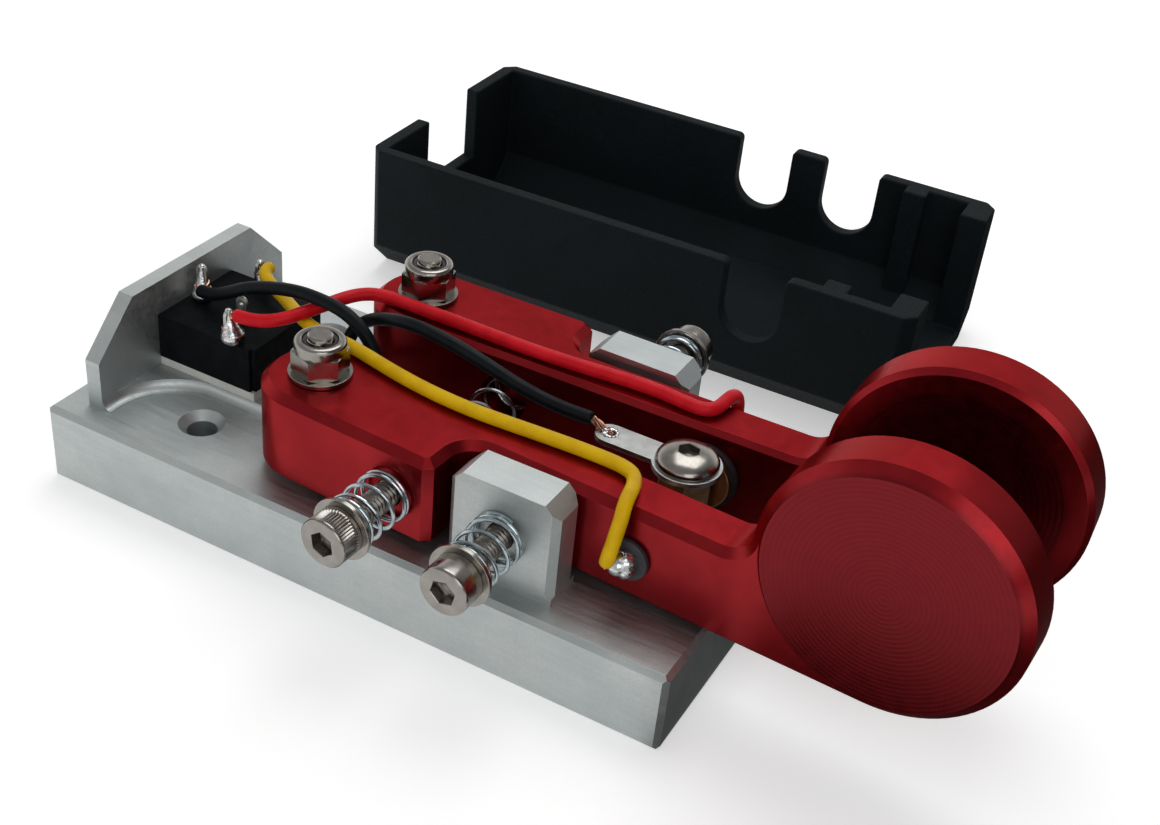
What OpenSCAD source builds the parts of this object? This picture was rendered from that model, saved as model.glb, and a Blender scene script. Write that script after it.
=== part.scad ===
// Twin-lever telegraph key: a milled base with a rear wall and two stop posts, two sprung levers
// with finger discs, a centre contact post, a jack with its wiring, and a cover standing behind it.
// Millimetres. The origin is the centre of the base's underside, +X runs to the finger discs, +Z is up.
// Each lever is drawn in its own axes: u forward from the pivot, v outward, and z as in the whole.

/* [Base] */
// Length of the base
base_l = 80; // [78:0.5:96]
// Width of the base
base_w = 39.5; // [38:0.5:56]
// Height of the base plate
base_h = 10; // [8:0.5:16]
// Chamfer on the base's edges
base_chamfer = 0.6; // [0.3:0.1:1]

/* [Rear wall and pad] */
// Distance from the base's rear edge to the wall
wall_inset = 3.7; // [2.5:0.1:4.5]
// Thickness of the rear wall
wall_t = 2; // [1.5:0.1:2.5]
// Width of the rear wall
wall_w = 33.3; // [28:0.5:35]
// Height of the wall above the base
wall_h = 12.2; // [11:0.2:16]
// Slanted shoulder at each top corner of the wall
wall_shoulder = 6.1; // [3:0.1:8]
// Height of the raised pad under the jack
pad_h = 1.2; // [0.6:0.1:1.4]
// Width of the raised pad
pad_w = 13.3; // [12.6:0.1:16]
// Length of the raised pad
pad_l = 17; // [15.5:0.1:17.5]
// Radius where the pad runs out into the wall
pad_fillet = 5; // [2:0.5:6]
// Distance between the two countersunk mounting holes
mount_spacing = 24.2; // [22:0.1:30]
// Distance of the mounting holes from the wall
mount_from_wall = 10.6; // [8:0.1:13]
// Bore of a mounting hole
mount_bore = 3.5; // [3:0.1:4]
// Mouth of a mounting hole's countersink
mount_mouth = 5.4; // [5:0.1:7]

/* [Stop posts] */
// Length of a stop post
post_l = 12.8; // [9:0.2:13]
// Thickness of a stop post
post_t = 4.8; // [4:0.1:6]
// Distance between the posts' inner faces
post_gap = 24.2; // [24:0.1:26]
// Height of a stop post above the base
post_h = 12.2; // [11:0.2:15]
// Chamfer on a post's two top corners
post_shoulder = 1.65; // [0.8:0.05:2.5]
// Chamfer on a post's upright edges
post_chamfer = 0.8; // [0.4:0.1:1.2]
// Height of the square foot left under the upright chamfers
post_foot = 0.9; // [0.4:0.1:1.5]

/* [Levers] */
// Distance from the base's rear edge to the pivots
pivot_from_rear = 31.8; // [31:0.1:34]
// Distance between the two pivots
pivot_spacing = 21; // [20:0.1:24]
// Height of a lever's block and blade
lever_h = 11; // [10.5:0.1:13]
// Width of a lever's block
block_w = 12.6; // [11:0.1:13]
// Distance from the pivot to the block's front face
block_front = 19.1; // [18:0.1:20]
// Thickness of a lever's blade
blade_t = 6.1; // [5:0.1:6.3]
// Radius between the block's front face and the blade
block_fillet = 3; // [1.5:0.1:3.5]
// Chamfer along a lever's outer edges
lever_chamfer = 0.9; // [0.5:0.1:1.2]
// Chamfer along a lever's inner edges
lever_inner_chamfer = 0.6; // [0.3:0.1:1]
// Radius of a finger disc
disc_r = 13.75; // [11.5:0.25:18]
// Distance from the pivot to a finger disc's centre
disc_reach = 65.3; // [62:0.1:80]
// How far a disc's face stands proud of the blade
disc_proud = 0.3; // [0.1:0.1:1]
// Radius between the blade's top and the disc's rim
disc_fillet = 3; // [1:0.1:3]
// Angle of the near lever outward from the centre line, at rest
splay_near = 2.9; // [2:0.1:2.9]
// Angle of the far lever outward from the centre line, at rest
splay_far = 1.5; // [1:0.1:2.9]

/* [Pivots] */
// Bore of a pivot bush less the bolt, on the radius
pivot_clearance = 0.05; // [0.02:0.01:0.1]
// Outside diameter of a pivot bush
bush_d = 5; // [4.5:0.1:6]
// Diameter of a bush's flange
bush_flange_d = 7; // [6.5:0.1:8]
// Thickness of a bush's flange, which holds the lever off the base
bush_flange_t = 1; // [0.6:0.1:1.5]
// Play between a lever's top and its washer
end_play = 0.05; // [0.02:0.01:0.1]
// Length of a pivot bolt under its head
pivot_bolt_l = 23.7; // [23.5:0.1:26]
// Height of a lock nut
nut_h = 4; // [3.8:0.1:4.4]
// Height of a lock nut's hexagon
nut_hex_h = 2.5; // [2.2:0.1:2.8]
// Diameter of a lock nut's collar
nut_collar_d = 5.7; // [5:0.1:6]

/* [Fasteners] */
// Diameter of all the screws
screw_d = 3; // [2.8:0.05:3]
// Diameter of a cap screw's head
head_d = 5.5; // [5:0.1:6]
// Height of a cap screw's head
head_h = 3; // [2.8:0.1:3.2]
// Width across the flats of the cap screws' sockets
socket_af = 2.5; // [2:0.1:2.8]
// Width across the flats of the nuts and the centre post
hex_af = 5.5; // [5:0.1:6]
// Diameter of the washers
washer_d = 7; // [6.5:0.1:7.4]
// Thickness of the washers
washer_t = 0.5; // [0.4:0.1:0.8]

/* [Adjusting screws] */
// Height of the adjusting screws above the base
screw_rise = 6.3; // [6:0.1:6.8]
// Distance from the pivot to the stop screws
stop_reach = 26.9; // [26.5:0.1:28]
// Distance from the centre line to the near stop screw's head face
stop_head_near = 27.6; // [27:0.1:30]
// Distance from the centre line to the far stop screw's head face
stop_head_far = 28.6; // [27:0.1:30]
// Distance from the pivot to the tension screw
tension_reach = 14.1; // [13.5:0.1:14.5]
// Distance from the near block's face to the tension screw's head face
tension_stand = 10.8; // [10:0.1:12]
// Clearance of the adjusting screws in their holes, on the radius
screw_clearance = 0.05; // [0.02:0.01:0.1]
// Gap between a stop screw's tip and the lever that rests on it
stop_touch = 0.02; // [0.01:0.01:0.05]

/* [Springs] */
// Outside diameter of the springs
spring_d = 5.2; // [4.8:0.1:5.4]
// Diameter of the spring wire
spring_wire = 0.4; // [0.3:0.05:0.45]
// Turns of a spring under an adjusting screw's head
head_spring_turns = 4.5; // [3.5:0.5:5]
// Turns of the spring between the levers
return_spring_turns = 6; // [5:0.5:8]
// Pitch of a spring's end turns
spring_end_pitch = 0.87; // [0.86:0.01:1]
// Diameter of the spring seats in the levers
seat_d = 5.8; // [5.6:0.1:6.2]
// Depth of the spring seat in the far lever
seat_far_depth = 3.2; // [2:0.1:4]
// Depth of the spring seat in the near lever, where the spring cup slides
seat_near_depth = 5.3; // [5:0.1:7]
// Depth of the spring cup's outer end in its seat
cup_depth = 3; // [2.6:0.1:3.4]
// Thickness of the spring cup
cup_t = 1.2; // [0.8:0.1:1.2]

/* [Contacts] */
// Distance from the pivot to the contacts and the centre post
contact_reach = 39.2; // [38:0.1:41]
// Height of the contacts above the levers' underside
contact_rise = 5.2; // [5:0.1:6.4]
// Diameter of a contact disc
contact_d = 7; // [6:0.1:8]
// Thickness of a contact disc
contact_t = 0.9; // [0.6:0.1:0.9]
// Diameter of the insulating washer behind a contact disc
insulator_d = 8; // [7:0.1:9]
// Thickness of the insulating washer
insulator_t = 0.7; // [0.4:0.1:0.7]
// Diameter of an insulating bush's flange on the outer face
insulator_flange_d = 4.8; // [4.4:0.1:6]
// Diameter of a contact's stem
stem_d = 2; // [1.6:0.1:2.4]
// Diameter of the solder on a contact's stem
solder_d = 3.2; // [2.8:0.1:4.4]

/* [Centre post] */
// Height of the hexagonal centre post
hex_h = 10.1; // [9:0.1:10.1]
// Turn of the centre post's corners
hex_turn = 51; // [0:1:59]
// Diameter of the solder lug's ring
lug_d = 7.6; // [7:0.1:8]
// Width of the solder lug's tail
lug_tail_w = 3.4; // [2.4:0.1:3.8]
// Distance from the lug's ring to the end of its tail
lug_l = 10.8; // [9:0.1:12]
// Thickness of the solder lug
lug_t = 0.6; // [0.4:0.1:0.8]
// Diameter of the button screw's flange
button_d = 6.9; // [6.4:0.1:7]
// Height of the button screw's dome
button_h = 1.75; // [1.4:0.05:2]

/* [Jack] */
// Length of the jack's body
jack_l = 13.8; // [12:0.1:14.4]
// Width of the jack's body
jack_w = 13.5; // [12:0.1:13.5]
// Height of the jack's body
jack_h = 5.7; // [5.4:0.1:7]
// Thickness of the strip that holds the jack on its pad
strip_t = 1.1; // [0.5:0.1:1.2]
// Diameter of the jack's nose in the rear wall
nose_d = 5.6; // [5:0.1:5.6]
// Bore of the socket
socket_d = 3.6; // [3.5:0.05:3.7]
// Depth of the socket
socket_l = 14.5; // [12:0.1:15]
// Length of the metal ring at the socket's mouth
ring_l = 3; // [2:0.1:4]
// Outside diameter of the metal ring
ring_d = 4.8; // [4.4:0.1:5]

/* [Cover] */
// Height of the cover
cover_h = 19.8; // [19.4:0.1:24]
// Thickness of the cover's walls
cover_t = 2; // [1.5:0.1:2]
// Thickness of the cover's front corners
cover_front_t = 3.8; // [2:0.1:4.5]
// Width of each front corner beside the levers' opening
cover_corner_w = 6.4; // [4:0.1:6.4]
// Slanted edge along both sides of the cover's roof
cover_slant = 5; // [3:0.5:6]
// Chamfer on the cover's upright corners
cover_chamfer = 1.5; // [1:0.1:2]
// Width of the notches for the adjusting screws
notch_w = 8.3; // [8:0.1:9]
// Radius at a notch's mouth
notch_round = 0.8; // [0.4:0.1:1]
// Width of the slot over the jack
jack_slot_w = 13.7; // [12:0.1:16]
// Depth of the slot over the jack
jack_slot_depth = 10.6; // [10:0.1:12]
// Distance from the cover's rear to its inner ribs
rib_from_rear = 68.8; // [67:0.1:70]
// Width of an inner rib
rib_w = 3.3; // [2:0.1:3.5]
// Depth of an inner rib
rib_depth = 2.2; // [1:0.1:2.2]
// Gap between the key and the cover that stands behind it
cover_gap = 22.8; // [14:0.1:40]
// How far the cover stands forward of the base
cover_shift = 1; // [-5:0.1:5]
// Turn of the cover as it stands
cover_turn = 1.5; // [0:0.1:5]

/* [Wires] */
// Diameter of the wires
wire_d = 1.45; // [1:0.05:1.45]

/* [Hidden] */
$fn = 64;
near = -1;
far = 1;
// Extra length of a cutting body past the face that it cuts
over = 0.5;
// Gap between pieces that are fastened to each other, on the radius
seat_gap = 0.02;

aluminium = [0.72, 0.73, 0.73];
red_anodised = [0.62, 0.07, 0.09];
steel = [0.62, 0.61, 0.58];
zinc = [0.7, 0.78, 0.8];
bronze = [0.62, 0.45, 0.25];
brass = [0.65, 0.5, 0.3];
dark_nylon = [0.1, 0.1, 0.11];
fibre = [0.16, 0.12, 0.13];
tin = [0.72, 0.74, 0.73];
solder_grey = [0.6, 0.6, 0.6];
copper = [0.62, 0.4, 0.3];

base_rear = -base_l / 2;
wall_rear = base_rear + wall_inset;
wall_front = wall_rear + wall_t;
pivot_x = base_rear + pivot_from_rear;
pivot_y = pivot_spacing / 2;
stop_x = pivot_x + stop_reach;
post_x = pivot_x + contact_reach;
screw_z = base_h + screw_rise;

// The lever's own levels and its faces' places across it
lever_z = base_h + bush_flange_t;
lever_top = lever_z + lever_h;
inner_v = -block_w / 2;
outer_v = inner_v + blade_t;
disc_z = lever_z + disc_r;
disc_chamfer = lever_chamfer + disc_proud;
contact_z = lever_z + contact_rise;
contact_hole_d = stem_d + 1.9;

// Centre of the fillet between the blade's top and the disc's rim, in u and z
fillet_bite = 0.02;
fillet_z = lever_top + disc_fillet;
fillet_u = disc_reach - sqrt(pow(disc_r + disc_fillet - fillet_bite, 2) - pow(fillet_z - disc_z, 2));
// Direction from there to the disc's centre, and how far past it the fillet's chamfers run
disc_angle = atan2(disc_z - fillet_z, disc_reach - fillet_u);
run_out = 12;

washer_z = lever_top + end_play;
nut_z = washer_z + washer_t;
bolt_head_recess = head_h + 0.3;
hex_r = hex_af / sqrt(3);
shank_r = screw_d / 2;
tip_r = shank_r - 0.4;

// Distance from the centre line to a blade's outer face beside the stop screw
function blade_y(splay) = pivot_y + (stop_reach + outer_v * sin(splay)) * tan(splay) + outer_v * cos(splay);
function stop_tip(splay) = blade_y(splay) + tip_r * tan(splay) + stop_touch;

// A point of a lever, given in its own u and v, as x and the distance from the centre line
function lever_x(u, v, splay) = pivot_x + u * cos(splay) - v * sin(splay);
function lever_y(u, v, splay) = pivot_y + u * sin(splay) + v * cos(splay);

post_outer = post_gap / 2 + post_t;
stud_l = 6;

jack_z = base_h + pad_h + strip_t;
jack_top = jack_z + jack_h;
jack_axis_z = jack_z + jack_h / 2;

post_top = base_h + hex_h;
lug_top = post_top + lug_t;

// Puts a piece drawn in a lever's own axes in its place on one side
module on_lever(side, splay) {
  translate([pivot_x, side * pivot_y, 0])
    if (side == near) mirror([0, 1, 0]) rotate([0, 0, splay]) children();
    else rotate([0, 0, splay]) children();
}

// Lays a piece that is drawn along +Z so that it runs outward along v
module outward() {
  rotate([-90, 0, 0]) children();
}

// Cuts a 45 degree chamfer on an edge that runs along +X through the origin, with the solid at -Y and -Z
module edge_cut(length, c) {
  rotate([90, 0, 90]) linear_extrude(length)
    polygon([[-c - over, over], [over, over], [over, -c - over]]);
}

// The same chamfer round a rim of radius r, with the solid inside the rim or, for a hollow, outside it
module rim_cut(r, c, from, to, hollow = false) {
  s = hollow ? -1 : 1;
  rotate([0, 0, from]) rotate_extrude(angle = to - from)
    polygon([[r - s * (c + over), over], [r + s * over, over], [r + s * over, -c - over]]);
}

// Base

// A box whose twelve edges are chamfered
module chamfered_box(l, w, h, c) {
  intersection() {
    translate([0, 0, -over]) linear_extrude(h + 2 * over) chamfered_rect(l, w, c);
    translate([0, 0, h / 2]) rotate([90, 0, 0])
      translate([0, 0, -w / 2 - over]) linear_extrude(w + 2 * over) chamfered_rect(l, h, c);
    translate([0, 0, h / 2]) rotate([90, 0, 90])
      translate([0, 0, -l / 2 - over]) linear_extrude(l + 2 * over) chamfered_rect(w, h, c);
  }
}

module chamfered_rect(l, w, c) {
  polygon([for (q = [[1, 1], [-1, 1], [-1, -1], [1, -1]])
    for (k = (q.x * q.y > 0) ? [0, 1] : [1, 0])
      [q.x * (l / 2 - (k == 1 ? c : 0)), q.y * (w / 2 - (k == 0 ? c : 0))]]);
}

// The wall's outline, seen from the front
module wall_outline() {
  half = wall_w / 2;
  top = base_h + wall_h;
  polygon([[-half, base_h - 1], [half, base_h - 1], [half, top - wall_shoulder],
    [half - wall_shoulder, top], [wall_shoulder - half, top], [-half, top - wall_shoulder]]);
}

// Plan of the raised pad, with the radius that runs out into the wall on both sides
module pad_outline() {
  translate([wall_front - over, -pad_w / 2]) square([pad_l + over, pad_w]);
  for (s = [-1, 1]) difference() {
    translate([wall_front - over, s > 0 ? 0 : -pad_w / 2 - pad_fillet]) square([pad_fillet + over, pad_w / 2 + pad_fillet]);
    translate([wall_front + pad_fillet, s * (pad_w / 2 + pad_fillet)]) circle(pad_fillet);
    translate([wall_front - 2 * over, s > 0 ? pad_w / 2 + pad_fillet : -pad_w / 2 - pad_fillet - over])
      square([pad_fillet + 3 * over, over]);
  }
}

module stop_post(side) {
  intersection() {
    translate([stop_x, side * (post_outer - post_t / 2), base_h - 1]) {
      linear_extrude(post_h + 1 + over) chamfered_rect(post_l, post_t, post_chamfer);
      linear_extrude(1 + post_foot) square([post_l, post_t], center = true);
    }
    translate([stop_x, side * (post_outer - post_t / 2) + post_t, 0]) rotate([90, 0, 0])
      linear_extrude(2 * post_t) polygon([[-post_l / 2, 0], [post_l / 2, 0],
        [post_l / 2, base_h + post_h - post_shoulder], [post_l / 2 - post_shoulder, base_h + post_h],
        [post_shoulder - post_l / 2, base_h + post_h], [-post_l / 2, base_h + post_h - post_shoulder]]);
  }
}

module base_block() {
  mount_x = wall_front + mount_from_wall;
  sink = (mount_mouth - mount_bore) / 2;
  color(aluminium) difference() {
    union() {
      chamfered_box(base_l, base_w, base_h, base_chamfer);
      translate([wall_rear, 0, 0]) rotate([90, 0, 90]) linear_extrude(wall_t) wall_outline();
      translate([0, 0, base_h - 1]) linear_extrude(pad_h + 1) pad_outline();
      stop_post(near);
      stop_post(far);
    }
    for (s = [near, far]) {
      translate([mount_x, s * mount_spacing / 2, -over]) cylinder(h = base_h + 2 * over, d = mount_bore);
      translate([mount_x, s * mount_spacing / 2, base_h - sink])
        cylinder(h = sink + 0.01, d1 = mount_bore, d2 = mount_mouth + 0.02);
      translate([pivot_x, s * pivot_y, -over]) cylinder(h = base_h + 2 * over, r = shank_r + 0.1);
      translate([pivot_x, s * pivot_y, -over]) cylinder(h = bolt_head_recess + over, d = head_d + 0.5);
      translate([stop_x, s * (post_gap / 2 - over), screw_z]) rotate([-90 * s, 0, 0])
        cylinder(h = post_t + 2 * over, r = shank_r + screw_clearance);
    }
    translate([post_x, 0, base_h - stud_l - 0.5]) cylinder(h = stud_l + 0.5 + over, r = shank_r + seat_gap);
    translate([wall_rear - over, 0, jack_axis_z]) rotate([0, 90, 0])
      cylinder(h = wall_t + 2 * over, d = nose_d + 0.1);
  }
}

// Jack

module jack_strip() {
  color("gainsboro") translate([wall_front, -pad_w / 2, base_h + pad_h]) cube([jack_l, pad_w, strip_t]);
}

module jack_body() {
  groove = 0.5;
  color(dark_nylon) difference() {
    union() {
      translate([wall_front, -jack_w / 2, jack_z]) cube([jack_l, jack_w, jack_h]);
      translate([wall_rear, 0, jack_axis_z]) rotate([0, 90, 0]) cylinder(h = wall_t + seat_gap, d = nose_d);
    }
    translate([wall_rear - over, 0, jack_axis_z]) rotate([0, 90, 0]) cylinder(h = socket_l + over, d = socket_d);
    translate([wall_rear - over, 0, jack_axis_z]) rotate([0, 90, 0]) cylinder(h = ring_l + over, d = ring_d);
    for (s = [-1, 1]) translate([wall_front + jack_l - over, s * (jack_w / 2) - groove, jack_z - over])
      cube([2 * over, 2 * groove, jack_h + 2 * over]);
  }
}

module jack_ring() {
  bevel = 0.3;
  color(tin) translate([wall_rear, 0, jack_axis_z]) rotate([0, 90, 0]) rotate_extrude() polygon([
    [socket_d / 2 + bevel, 0], [ring_d / 2 - seat_gap, 0], [ring_d / 2 - seat_gap, ring_l],
    [socket_d / 2, ring_l], [socket_d / 2, bevel]]);
}

// The jack's four tags: distance from the wall, place across, height and turn
pin_places = [[1.6, -0.5, 4.4, 0], [5, 6, 3.3, 90], [8.1, -1.3, 2.8, 0], [10, -6, 4, 90]];
pin_w = 1.5;
pin_t = 0.4;

module jack_pins() {
  color(solder_grey) for (p = pin_places)
    translate([wall_front + p[0], p[1], jack_top]) rotate([0, 0, p[3]]) difference() {
      translate([0, pin_t / 2, 0]) rotate([90, 0, 0]) linear_extrude(pin_t) union() {
        translate([-pin_w / 2, 0]) square([pin_w, p[2] - pin_w / 2]);
        translate([0, p[2] - pin_w / 2]) circle(d = pin_w, $fn = 32);
      }
      translate([0, pin_t, p[2] - pin_w / 2]) rotate([90, 0, 0]) cylinder(h = 2 * pin_t, d = 0.6, $fn = 24);
    }
}

// Solder on the three wired tags, on the side that its wire comes from
solder_places = [[0, 0.55], [1, -0.5], [3, 0.55]];

module pin_solder() {
  color(solder_grey) for (q = solder_places) {
    p = pin_places[q[0]];
    translate([wall_front + p[0], p[1], jack_top]) rotate([0, 0, p[3]])
      translate([0, sign(q[1]) * (pin_t / 2), p[2] - 1.6]) rotate([-90 * sign(q[1]), 0, 0]) difference() {
        sphere(d = 2 * abs(q[1]) + 0.6, $fn = 32);
        translate([0, 0, -3]) cube(6, center = true);
      }
  }
}

// Pivots

module at_pivots() {
  for (s = [near, far]) translate([pivot_x, s * pivot_y, 0]) children();
}

// A cap screw pointing along -Z from the underside of its head, with a chamfered tip
module cap_screw(length) {
  rim = 0.35;
  bevel = shank_r - tip_r;
  difference() {
    rotate_extrude() polygon([[0, -length], [tip_r, -length], [shank_r, bevel - length], [shank_r, 0],
      [head_d / 2, 0], [head_d / 2, head_h - rim], [head_d / 2 - rim, head_h], [0, head_h]]);
    translate([0, 0, head_h / 2]) cylinder(h = head_h, r = socket_af / sqrt(3), $fn = 6);
  }
}

module washer() {
  difference() {
    cylinder(h = washer_t, d = washer_d);
    translate([0, 0, -over]) cylinder(h = washer_t + 2 * over, r = shank_r + 0.1);
  }
}

module pivot_bolts() {
  color(steel) at_pivots() translate([0, 0, bolt_head_recess]) mirror([0, 0, 1]) cap_screw(pivot_bolt_l);
}

module pivot_washers() {
  color(steel) at_pivots() translate([0, 0, washer_z]) washer();
}

// A lock nut: a chamfered hexagon with a round collar that closes over its ring
module lock_nut() {
  lip = 0.5;
  difference() {
    union() {
      intersection() {
        cylinder(h = nut_hex_h, r = hex_r, $fn = 6);
        rotate_extrude() polygon([[0, 0], [hex_r - 0.25, 0], [hex_r, 0.15], [hex_r, nut_hex_h - 0.35],
          [hex_af / 2 - 0.05, nut_hex_h], [0, nut_hex_h]]);
      }
      rotate_extrude() polygon([[0, nut_hex_h - over], [hex_af / 2 - 0.2, nut_hex_h - over],
        [hex_af / 2 - 0.2, nut_hex_h], [nut_collar_d / 2, nut_hex_h + 0.35], [nut_collar_d / 2, nut_h - lip],
        [nut_collar_d / 2 - 0.15, nut_h - 0.15], [nut_collar_d / 2 - lip, nut_h], [0, nut_h]]);
    }
    translate([0, 0, -over]) cylinder(h = nut_h + 2 * over, r = shank_r + seat_gap);
    translate([0, 0, nut_h - 0.6]) cylinder(h = 1, r = shank_r + 0.45);
  }
}

module pivot_nuts() {
  color(steel) at_pivots() translate([0, 0, nut_z]) rotate([0, 0, 12]) lock_nut();
}

module pivot_bush() {
  difference() {
    union() {
      translate([0, 0, base_h]) cylinder(h = bush_flange_t, d = bush_flange_d);
      translate([0, 0, base_h]) cylinder(h = bush_flange_t + lever_h, r = bush_d / 2 - seat_gap);
    }
    translate([0, 0, base_h - over])
      cylinder(h = bush_flange_t + lever_h + 2 * over, r = shank_r + pivot_clearance);
  }
}

// Levers

module lever_plan() {
  outer = block_w / 2;
  c = lever_chamfer;
  difference() {
    union() {
      circle(outer);
      polygon([[0, -outer], [block_front, -outer], [block_front, outer - c], [block_front - c, outer], [0, outer]]);
      translate([0, inner_v]) square([disc_reach, blade_t]);
      translate([block_front - over, outer_v - over]) square([block_fillet + over, block_fillet + over]);
    }
    translate([block_front + block_fillet, outer_v + block_fillet]) circle(block_fillet);
  }
}

// Chamfers along the lever's top or, mirrored, its underside
module lever_edge_cuts() {
  outer = block_w / 2;
  c = lever_chamfer;
  // Round the back of the block
  rim_cut(outer, c, 90, 270);
  // Along the block's outer side, its front and the corner between them
  translate([0, outer, 0]) edge_cut(block_front, c);
  translate([block_front, block_w, 0]) rotate([0, 0, -90]) edge_cut(block_w - outer_v - block_fillet, c);
  translate([block_front - c, outer, 0]) rotate([0, 0, -45]) translate([-c, 0, 0]) edge_cut(c * (sqrt(2) + 2), c);
  // Round the hollow into the blade
  translate([block_front + block_fillet, outer_v + block_fillet, 0]) rim_cut(block_fillet, c, 180, 270, true);
}

module lever_solid() {
  c = lever_chamfer;
  ci = lever_inner_chamfer;
  blade_start = block_front + block_fillet;
  difference() {
    union() {
      translate([0, 0, lever_z]) linear_extrude(lever_h) lever_plan();
      // The finger disc, turned with a chamfer on each face
      translate([disc_reach, inner_v, disc_z]) outward() rotate_extrude($fn = 128) polygon([[0, 0],
        [disc_r - ci, 0], [disc_r, ci], [disc_r, blade_t + disc_proud - disc_chamfer],
        [disc_r - disc_chamfer, blade_t + disc_proud], [0, blade_t + disc_proud]]);
      // The hollow corner between the blade's top and the disc's rim
      translate([0, inner_v + blade_t, 0]) rotate([90, 0, 0]) linear_extrude(blade_t) difference() {
        polygon([[fillet_u, lever_top - 1], [fillet_u, fillet_z], [disc_reach, disc_z], [disc_reach, lever_top - 1]]);
        translate([fillet_u, fillet_z]) circle(disc_fillet);
      }
    }
    // Outer chamfers of the block, above and below
    translate([0, 0, lever_top]) lever_edge_cuts();
    translate([0, 0, lever_z]) mirror([0, 0, 1]) lever_edge_cuts();
    // The blade's outer edges
    translate([blade_start, outer_v, lever_top]) edge_cut(fillet_u - blade_start, c);
    translate([blade_start, outer_v, lever_z]) mirror([0, 0, 1]) edge_cut(disc_reach - blade_start, c);
    // The inner edges, straight from the block to the disc
    translate([0, inner_v, lever_top]) mirror([0, 1, 0]) edge_cut(fillet_u, ci);
    translate([0, inner_v, lever_z]) mirror([0, 1, 0]) mirror([0, 0, 1]) edge_cut(disc_reach, ci);
    // Both chamfers follow the fillet up to the disc
    translate([fillet_u, outer_v, fillet_z]) rotate([90, 0, 0]) mirror([0, 0, 1])
      rim_cut(disc_fillet, c, -90, disc_angle + run_out, true);
    translate([fillet_u, inner_v, fillet_z]) rotate([90, 0, 0])
      rim_cut(disc_fillet, ci, -90, disc_angle + run_out, true);
    // Pivot bore and the contact's hole
    translate([0, 0, lever_z - over]) cylinder(h = lever_h + 2 * over, d = bush_d);
    translate([contact_reach, inner_v - over, contact_z]) outward() cylinder(h = blade_t + 2 * over, d = contact_hole_d);
  }
}

// Places a piece on the tension screw's axis, at a depth outward from the lever's inner face
module at_tension(depth) {
  translate([tension_reach, inner_v + depth, screw_z]) outward() children();
}

module lever_near() {
  color(red_anodised) on_lever(near, splay_near) difference() {
    lever_solid();
    at_tension(-over) cylinder(h = block_w + 2 * over, r = shank_r + screw_clearance);
    at_tension(-over) cylinder(h = seat_near_depth + over, d = seat_d);
  }
}

module lever_far() {
  color(red_anodised) on_lever(far, splay_far) difference() {
    lever_solid();
    at_tension(-over) cylinder(h = seat_far_depth + over, d = seat_d);
  }
}

// Contacts: a disc with a stem, held off the lever by a washer and a flanged bush

module at_contact(depth) {
  translate([contact_reach, inner_v + depth, contact_z]) outward() children();
}

stem_hole_r = stem_d / 2 + seat_gap;
insulator_flange_t = 0.6;
stem_proud = 0.9;

module insulating_washer() {
  at_contact(-insulator_t) difference() {
    cylinder(h = insulator_t, d = insulator_d);
    translate([0, 0, -over]) cylinder(h = insulator_t + 2 * over, r = stem_hole_r);
  }
}

module insulating_bush() {
  at_contact(0) difference() {
    union() {
      cylinder(h = blade_t, r = contact_hole_d / 2 - seat_gap);
      translate([0, 0, blade_t]) cylinder(h = insulator_flange_t, d = insulator_flange_d);
    }
    translate([0, 0, -over]) cylinder(h = blade_t + insulator_flange_t + 2 * over, r = stem_hole_r);
  }
}

module contact() {
  edge = 0.15;
  at_contact(-insulator_t - contact_t) {
    rotate_extrude() polygon([[0, 0], [contact_d / 2 - edge, 0], [contact_d / 2, edge],
      [contact_d / 2, contact_t], [0, contact_t]]);
    cylinder(h = contact_t + insulator_t + blade_t + insulator_flange_t + stem_proud, d = stem_d);
  }
}

// A drop of solder round the stem's end
module contact_solder() {
  drop = solder_d * 0.42;
  at_contact(blade_t + insulator_flange_t) difference() {
    intersection() {
      translate([0, 0, drop - solder_d / 2]) sphere(d = solder_d, $fn = 48);
      cylinder(h = solder_d, d = solder_d);
    }
    translate([0, 0, -over]) cylinder(h = stem_proud + over, r = stem_hole_r);
  }
}

module bush_near() { color(bronze) on_lever(near, splay_near) pivot_bush(); }
module bush_far() { color(bronze) on_lever(far, splay_far) pivot_bush(); }
module insulator_near() { color(fibre) on_lever(near, splay_near) insulating_washer(); }
module insulator_far() { color(fibre) on_lever(far, splay_far) insulating_washer(); }
module insulator_bush_near() { color(fibre) on_lever(near, splay_near) insulating_bush(); }
module insulator_bush_far() { color(fibre) on_lever(far, splay_far) insulating_bush(); }
module contact_near() { color(brass) on_lever(near, splay_near) contact(); }
module contact_far() { color(brass) on_lever(far, splay_far) contact(); }
module contact_solder_near() { color(solder_grey) on_lever(near, splay_near) contact_solder(); }
module contact_solder_far() { color(solder_grey) on_lever(far, splay_far) contact_solder(); }

// Centre post

post_hole_l = 7;
button_screw_l = 6;

module centre_post() {
  bevel = 0.25;
  color(brass) translate([post_x, 0, base_h]) rotate([0, 0, hex_turn]) difference() {
    union() {
      intersection() {
        cylinder(h = hex_h, r = hex_r, $fn = 6);
        rotate_extrude() polygon([[0, 0], [hex_r - bevel, 0], [hex_r, bevel / 2], [hex_r, hex_h - bevel / 2],
          [hex_r - bevel, hex_h], [0, hex_h]]);
      }
      translate([0, 0, -stud_l]) cylinder(h = stud_l + 1, r = shank_r);
    }
    translate([0, 0, hex_h - post_hole_l]) cylinder(h = post_hole_l + over, r = shank_r + seat_gap);
  }
}

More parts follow.
